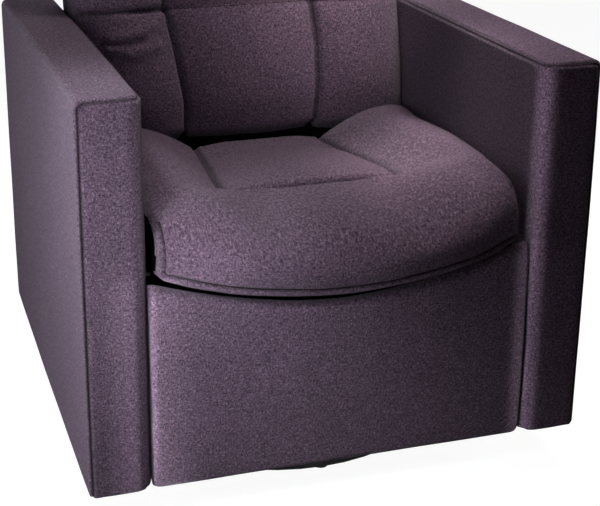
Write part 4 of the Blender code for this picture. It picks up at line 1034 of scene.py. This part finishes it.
SHELL_EDGE = 0.014
SHELL_CROWN = 0.006
SHELL_SIDE_ROWS = (0.0012, 0.010, 0.022, 0.034)


def shell_outline(inset):
    """Outline of the outside back from its lower left corner, as (x, z)."""
    half = BACK_HALF - inset
    low = SHELL_FOOT + inset
    high = SHELL_TOP - inset
    radius = max(BACK_CORNER - inset, 0.004)
    points = [(x, low) for x in evenly(-half, half, 28)[:-1]]
    points += [(half, z) for z in evenly(low, high - radius, 32)[:-1]]
    for angle in quarter(8):
        points.append((half - radius * (1 - math.cos(angle)), high - radius * (1 - math.sin(angle))))
    points += [(x, high) for x in evenly(half - radius, radius - half, 24)[1:-1]]
    for angle in quarter(8):
        points.append((-half + radius * (1 - math.sin(angle)), high - radius * (1 - math.cos(angle))))
    return points + [(-half, z) for z in evenly(high - radius, low, 32)[1:-1]]


def shell_rings():
    """Rings of the tray: inner face, rim, sides, rounded rear edge and crowned rear face."""
    rows = [(SHELL_RIM, SHELL_REAR - SHELL_WALL), (SHELL_RIM, 0.0012), (0.006, 0.0004)]
    rows += [(0.0, depth) for depth in SHELL_SIDE_ROWS]
    for angle in quarter(6):
        rows.append((SHELL_EDGE * (1 - math.cos(angle)), SHELL_REAR - SHELL_EDGE * (1 - math.sin(angle))))
    rings = [[(x, depth, z) for x, z in shell_outline(inset)] for inset, depth in rows]
    middle = (SHELL_TOP + SHELL_FOOT) / 2
    outline = shell_outline(SHELL_EDGE)
    for share in evenly(0.0, 1.0, 13)[1:-1]:
        depth = SHELL_REAR + SHELL_CROWN * (1 - (1 - share) ** 2)
        rings.append([(x * (1 - share), depth, z + (middle - z) * share) for x, z in outline])
    return rings


def leaned(points):
    return [lean @ Vector(point) for point in points]


def open_foot(piece):
    """Cuts the tray's lower end away in front of its rear wall, where the back turns over the seat."""
    widths = (-BACK_HALF - 0.02, BACK_HALF + 0.02)
    depths = (-0.03, SHELL_REAR - SHELL_WALL + 0.0004)
    heights = (SHELL_FOOT - 0.03, BACK_FOOT)
    corners = [(x, y, z) for x in widths for y in depths for z in heights]
    faces = [(0, 1, 3, 2), (4, 6, 7, 5), (0, 4, 5, 1), (2, 3, 7, 6), (0, 2, 6, 4), (1, 5, 7, 3)]
    mesh = bpy.data.meshes.new("foot_cutter")
    mesh.from_pydata(leaned(corners), [], faces)
    cutter = new_piece("foot_cutter", mesh)
    cut = piece.modifiers.new("foot", "BOOLEAN")
    cut.operation = "DIFFERENCE"
    cut.solver = "EXACT"
    cut.object = cutter
    plain_mesh(piece)
    bpy.data.objects.remove(cutter)


outside_back = skin("back_outside_cloth", [leaned(ring) for ring in shell_rings()])
open_foot(outside_back)
upholster(outside_back, "back", ["back_shell"])


# Back cushion: a foam and fibre pad of three stacked panels between two long side bolsters.
# Seams run up both sides of the middle column and across it, drawn in by stitching.
# A black strip in the gap under its tucked foot is painted shade.

BACK_EDGE = 0.084
BACK_FLANK = 0.034
BACK_SWELL = 0.120
BACK_SWELL_DEPTH = 0.012
BACK_SWELL_CAP = 0.006
BACK_PANEL_DOME = 0.014
BACK_BOLSTER_DOME = 0.025
BACK_PANEL_DRAW = 0.009
BACK_BOLSTER_DRAW = 0.006
BACK_SEAM = 0.45
BACK_SEAM_LEFT = (
    (0.02, 0.13, 0.17, 0.22, 0.256, 0.286, 0.40, 0.62),
    (0.114, 0.114, 0.120, 0.126, 0.133, 0.139, 0.135, 0.128),
)
BACK_SEAM_RIGHT = (
    (0.02, 0.08, 0.113, 0.146, 0.206, 0.282, 0.40, 0.62),
    (0.110, 0.111, 0.115, 0.118, 0.120, 0.114, 0.122, 0.128),
)
BACK_SEAM_REACH = 0.97
BACK_SEAM_HOLD = 0.003
BACK_SEAM_DRAW = (0.010, 0.005, 0.0)
BACK_LEVELS = (0.282, 0.470)
BACK_CREST = 0.030
BACK_ROLL = 0.050
BACK_HEM = BACK_FOOT + 0.012
BACK_HIGH = BACK_TOP - BACK_ROLL
BACK_CLEAR = 0.0006
BACK_REAR_EDGE = 0.006
BACK_TUCK = 0.050
BACK_TUCK_LEVELS = (0.056, 0.079)
BACK_ROWS = 96
BACK_SHARES = evenly(0.0, BACK_SEAM, 21)[:-1] + evenly(BACK_SEAM, 1.0, 26)


def back_top_at(across):
    past = max(0.0, abs(across) - (BACK_HALF - BACK_CORNER))
    return BACK_TOP - BACK_CORNER + math.sqrt(max(BACK_CORNER ** 2 - past ** 2, 0.0))


def back_seam_at(side, height):
    """Where a long seam lies at a height; the sewn column leans a little, as it was filled."""
    spread = BACK_SEAM_RIGHT if side > 0 else BACK_SEAM_LEFT
    return float(np.interp(height, *spread))


def back_across(share, height):
    """Distance from the middle; a long seam keeps one share of the half width."""
    size = abs(share)
    side = 1 if share > 0 else -1
    seam = back_seam_at(side, height)
    across = seam * size / BACK_SEAM
    if size > BACK_SEAM:
        across = seam + (BACK_HALF - seam) * (size - BACK_SEAM) / (1 - BACK_SEAM)
    return side * across


def back_front(share, height):
    """Depth of the back's front face: two bolsters and three stacked panels between them."""
    size = abs(share)
    swell = ease(BACK_FOOT, BACK_FOOT + BACK_SWELL, height)
    if size < BACK_SEAM:
        draw = BACK_PANEL_DRAW
        full = BACK_PANEL_DOME * (1 - (size / BACK_SEAM) ** 2) ** 0.5
    else:
        draw = BACK_BOLSTER_DRAW
        flank = ((size - BACK_SEAM) / (1 - BACK_SEAM)) ** 0.85
        full = BACK_BOLSTER_DOME * max(0.0, math.sin(math.pi * flank)) ** 0.6
    panel = 0.0
    bounds = (BACK_FOOT, *BACK_LEVELS, BACK_HIGH)
    for low, high in zip(bounds, bounds[1:]):
        if low <= height <= high:
            panel = 4 * (height - low) * (high - height) / (high - low) ** 2
    depth = BACK_EDGE + BACK_SWELL_DEPTH * swell + full * (0.35 + 0.65 * swell)
    depth -= draw * (1 - max(panel, 0.0) ** 0.45) * swell
    depth -= BACK_TUCK * (1 - ease(*BACK_TUCK_LEVELS, height))
    return depth - BACK_FLANK * size ** 10


def back_section(share):
    """One section of the back cushion: down its rear, under its foot, up the front and over the top."""
    top = back_top_at(share * BACK_HALF)
    high = top - BACK_ROLL
    line = [(-BACK_CLEAR, height) for height in evenly(top - BACK_REAR_EDGE, BACK_FOOT, 10)[:-1]]
    reach = back_front(share, BACK_FOOT) * 0.86
    for part in evenly(0.0, 1.0, 8)[:-1]:
        line.append((-BACK_CLEAR - reach * part, BACK_FOOT + 0.010 * part ** 2))
    rise = (high - BACK_FOOT) / (BACK_HIGH - BACK_FOOT)
    for level in evenly(BACK_HEM, BACK_HIGH, BACK_ROWS):
        line.append((-back_front(share, level), BACK_HEM + (level - BACK_HEM) * rise))
    reach = back_front(share, BACK_HIGH) - BACK_CREST
    for angle in quarter(12, 1):
        line.append((-BACK_CREST - reach * math.cos(angle), high + BACK_ROLL * math.sin(angle)))
    for part in evenly(0.0, 1.0, 4)[1:-1]:
        line.append((-BACK_CREST * (1 - part), top - BACK_REAR_EDGE * part ** 2))
    return [(back_across(share, height), depth, height) for depth, height in line]


def back_point(share, height):
    return lean @ Vector((back_across(share, height), -back_front(share, height), height))


def fold_point(across, height):
    """The place on the front face at a distance from the middle and a height."""
    side = 1 if across > 0 else -1
    seam = back_seam_at(side, height)
    size = BACK_SEAM + (1 - BACK_SEAM) * (abs(across) - seam) / (BACK_HALF - seam)
    return back_point(side * size, height)


# Each fold on the left bolster: its places, its rise, which is negative for a valley, and its width.
BACK_FOLDS = (
    (
        (
            (-0.234, 0.238), (-0.204, 0.241), (-0.188, 0.245),
            (-0.171, 0.252), (-0.158, 0.259), (-0.148, 0.270),
        ),
        0.005, 0.008,
    ),
    (((-0.246, 0.232), (-0.230, 0.230), (-0.214, 0.230), (-0.189, 0.232)), -0.005, 0.007),
    (((-0.236, 0.222), (-0.219, 0.218), (-0.202, 0.211), (-0.182, 0.215), (-0.161, 0.223)), 0.005, 0.009),
)
back_cushion = skin("cushion_back", [leaned(ring) for ring in cushion_rings(back_section, BACK_SHARES)])
back_seams = [
    [back_point(side * BACK_SEAM, height) for height in evenly(BACK_HEM, BACK_HIGH, 40)] for _, side in SIDES
]
back_seams += [
    [back_point(share, level) for share in evenly(-BACK_SEAM_REACH, BACK_SEAM_REACH, 40)]
    for level in BACK_LEVELS
]
places = np.array([unlean @ Vector(place) for place in vertex_places(back_cushion.data)])
held = gaps(vertex_places(back_cushion.data), back_seams) < BACK_SEAM_HOLD
held |= places[:, 1] > -0.004
held |= places[:, 2] < BACK_HEM
held |= np.abs(places[:, 0]) > BACK_HALF - 0.001
swollen(back_cushion, held, BACK_SWELL_CAP)
subdivided(back_cushion)
draw_in(back_cushion, back_seams, *BACK_SEAM_DRAW)
for path, rise, width in BACK_FOLDS:
    draw_in(back_cushion, [[fold_point(*place) for place in path]], -rise, width, 0.0)
upholster(back_cushion, "back", ["back_cushion"])
sew("seam_back", back_cushion, back_seams, "back")
# Painted shade: a thin black block set in the crevice under the cushion's tucked foot.
strip_low = (-BACK_HALF + 0.012, -0.053, BACK_FOOT + 0.006)
strip_high = (BACK_HALF - 0.012, -0.049, 0.070)
painted_shade_strip = pad_block("painted_shade_back_foot", strip_low, strip_high, 0.001)
move_vertices(painted_shade_strip.data, np.array(leaned(vertex_places(painted_shade_strip.data))))
painted_shade_strip.data.materials.append(black_lining_and_painted_shade)
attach(painted_shade_strip, "back")


# Back springs: two pull coils under the seat that balance the back.
# Cold wound wire, hooked over a peg on the side plate and a peg on the back's bracket.

for side_name, _ in SIDES:
    node = nodes["back_spring_" + side_name]
    spring = new_piece("coil_back_" + side_name, node.data.copy())
    spring.data.materials.clear()
    spring.data.materials.append(oiled_wire)
    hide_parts(node.name)
    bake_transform(spring)


# Floor, light and camera: a plain white studio round the finished chair.
# Broad lamps stand behind it, above it and on its left, with fills on the sides away from the camera.
# Small lamps in front and above light the arms, the seat, the panel and the back; two are narrow strips.

WHITE = (1.0, 1.0, 1.0, 1.0)
FLOOR_HALF = 9.0
FLOOR_GREY = (0.20, 0.20, 0.20, 1.0)
FLOOR_GLOW = 0.94
# Painted shadow: a soft box under the chair where the floor's glow is left out.
PAINTED_SHADOW_PLACE = (0.0, -0.46, 0.0)
PAINTED_SHADOW_SCALE = (3.0, 3.16, 1.0)
PAINTED_SHADOW_FADE = (0.72, 1.05)
AMBIENT = 0.015


def seen(tree):
    """1 for what is looked at, directly, mirrored or through a clear surface, and 0 for stray light."""
    path = step(tree, "ShaderNodeLightPath")
    direct = joined(tree, path.outputs["Is Camera Ray"], path.outputs["Is Glossy Ray"], "MAXIMUM")
    return joined(tree, direct, path.outputs["Is Transmission Ray"], "MAXIMUM")


def studio_white(name):
    """White round the chair to the camera; under the chair the glow is left out as a painted shadow, and the
    diffuse part keeps the cast shadow.
    """
    material = bpy.data.materials.new(name)
    material.use_nodes = True
    tree = material.node_tree
    tree.nodes.clear()
    place = step(tree, "ShaderNodeTexCoord").outputs["Object"]
    mapping = {"Vector": place, "Location": PAINTED_SHADOW_PLACE, "Scale": PAINTED_SHADOW_SCALE}
    shift = step(tree, "ShaderNodeMapping", mapping)
    size = step(tree, "ShaderNodeVectorMath", {0: shift.outputs[0]}, operation="ABSOLUTE")
    parts = step(tree, "ShaderNodeSeparateXYZ", {0: size.outputs[0]})
    reach = joined(tree, parts.outputs["X"], parts.outputs["Y"], "MAXIMUM")
    fade = {"Value": reach, "From Min": PAINTED_SHADOW_FADE[0], "From Max": PAINTED_SHADOW_FADE[1], "To Max": FLOOR_GLOW}
    open_floor = step(tree, "ShaderNodeMapRange", fade)
    level = joined(tree, seen(tree), open_floor.outputs["Result"], "MULTIPLY")
    light = step(tree, "ShaderNodeEmission", {"Color": WHITE, "Strength": level})
    matt = step(tree, "ShaderNodeBsdfDiffuse", {"Color": FLOOR_GREY})
    both = step(tree, "ShaderNodeAddShader", {0: light.outputs[0], 1: matt.outputs[0]})
    step(tree, "ShaderNodeOutputMaterial", {"Surface": both.outputs[0]})
    return material


floor_corners = [(x * FLOOR_HALF, y * FLOOR_HALF, 0) for x, y in ((-1, -1), (1, -1), (1, 1), (-1, 1))]
floor_mesh = bpy.data.meshes.new("floor")
floor_mesh.from_pydata(floor_corners, [], [(0, 1, 2, 3)])
floor = new_piece("floor", floor_mesh)
floor.data.materials.append(studio_white("floor_white"))

world = bpy.data.worlds.new("studio")
scene.world = world
world.use_nodes = True
sky = world.node_tree
sky.nodes.clear()
background = step(
    sky, "ShaderNodeBackground", {"Color": WHITE, "Strength": between(sky, seen(sky), AMBIENT, 1.0)}
)
step(sky, "ShaderNodeOutputWorld", {"Surface": background.outputs[0]})


def lamp(name, place, target, size, spread, power, colour):
    """A soft lamp of a width and a height, aimed at a point."""
    data = bpy.data.lights.new(name, "AREA")
    data.shape = "RECTANGLE"
    data.size = size[0]
    data.size_y = size[1]
    data.spread = math.radians(spread)
    data.energy = power
    data.color = colour
    item = bpy.data.objects.new(name, data)
    scene.collection.objects.link(item)
    item.location = place
    item.rotation_euler = (Vector(target) - Vector(place)).to_track_quat("-Z", "Y").to_euler()


NEUTRAL = (1.0, 1.0, 1.0)
WARM = (1.0, 0.94, 0.88)
COOL = (0.97, 0.98, 1.0)
# Each lamp: its place, its target, its width and height, its spread in degrees, its power and its colour.
LAMPS = {
    "rear": ((0.15, 1.5, 2.2), (0.0, -0.2, 0.5), (0.8, 0.8), 180, 11.2, NEUTRAL),
    "overhead": ((0.6, -0.1, 2.0), (0.2, -0.1, 0.5), (0.6, 0.6), 120, 5.8, WARM),
    "low_left": ((-1.3, -0.5, 0.35), (-0.38, -0.2, 0.35), (0.5, 0.5), 180, 7.4, COOL),
    "front_high": ((-0.55, -1.0, 0.9), (-0.4, -0.2, 0.28), (0.4, 0.4), 90, 0.60, COOL),
    "front_near": ((-0.65, -0.8, 0.7), (-0.45, -0.2, 0.45), (0.3, 0.3), 84, 0.54, COOL),
    "lip_beam": ((-0.7, -0.9, 0.7), (-0.22, -0.4, 0.43), (0.15, 0.15), 20, 0.06, COOL),
    "panel_beam": ((-0.7, -0.95, 0.95), (-0.08, -0.37, 0.11), (0.15, 0.15), 31, 0.27, COOL),
    "back_beam": ((0.1, -0.9, 1.4), (0.15, 0.15, 0.70), (0.15, 0.15), 21, 0.22, WARM),
    "arm_beam": ((-0.6, -0.6, 1.4), (-0.33, -0.3, 0.65), (0.15, 0.15), 22, 0.09, NEUTRAL),
    "arm_strip": ((-0.35, -1.0, 0.36), (0.294, -0.362, 0.36), (0.02, 0.60), 2.0, 0.030, NEUTRAL),
    "panel_strip": ((-1.0, -0.62, 0.2), (-0.274, -0.366, 0.2), (0.02, 0.40), 3.0, 0.060, NEUTRAL),
    "side_fill": ((1.5, 0.7, 0.45), (0.38, 0.1, 0.35), (0.6, 0.6), 120, 4.0, NEUTRAL),
    "rear_fill": ((0.3, 2.0, 0.6), (0.0, 0.4, 0.5), (0.6, 0.6), 120, 5.0, NEUTRAL),
    "bolster_beam": ((0.20, -0.20, 1.6), (0.18, -0.17, 0.46), (0.15, 0.15), 20, 0.21, WARM),
}
for name, setting in LAMPS.items():
    lamp(name, *setting)

CAMERA_PLACE = Vector((-0.6667, -2.2045, 1.2114))
CAMERA_YAW = math.radians(17.924)
CAMERA_PITCH = math.radians(20.136)
CAMERA_ROLL = math.radians(0.607)
CAMERA_SENSOR = 36.0
CAMERA_LENS = 89.61
CAMERA_SHIFT = -0.105
ahead = math.cos(CAMERA_PITCH)
forward = Vector((math.sin(CAMERA_YAW) * ahead, math.cos(CAMERA_YAW) * ahead, -math.sin(CAMERA_PITCH)))
level_right = Vector((math.cos(CAMERA_YAW), -math.sin(CAMERA_YAW), 0.0))
level_up = level_right.cross(forward)
right = math.cos(CAMERA_ROLL) * level_right + math.sin(CAMERA_ROLL) * level_up
up = -math.sin(CAMERA_ROLL) * level_right + math.cos(CAMERA_ROLL) * level_up
view = bpy.data.cameras.new("camera")
view.sensor_width = CAMERA_SENSOR
view.lens = CAMERA_LENS
view.shift_y = CAMERA_SHIFT
camera = bpy.data.objects.new("camera", view)
scene.collection.objects.link(camera)
turn = Matrix((right, up, -forward)).transposed().to_4x4()
camera.matrix_world = Matrix.Translation(CAMERA_PLACE) @ turn
scene.camera = camera
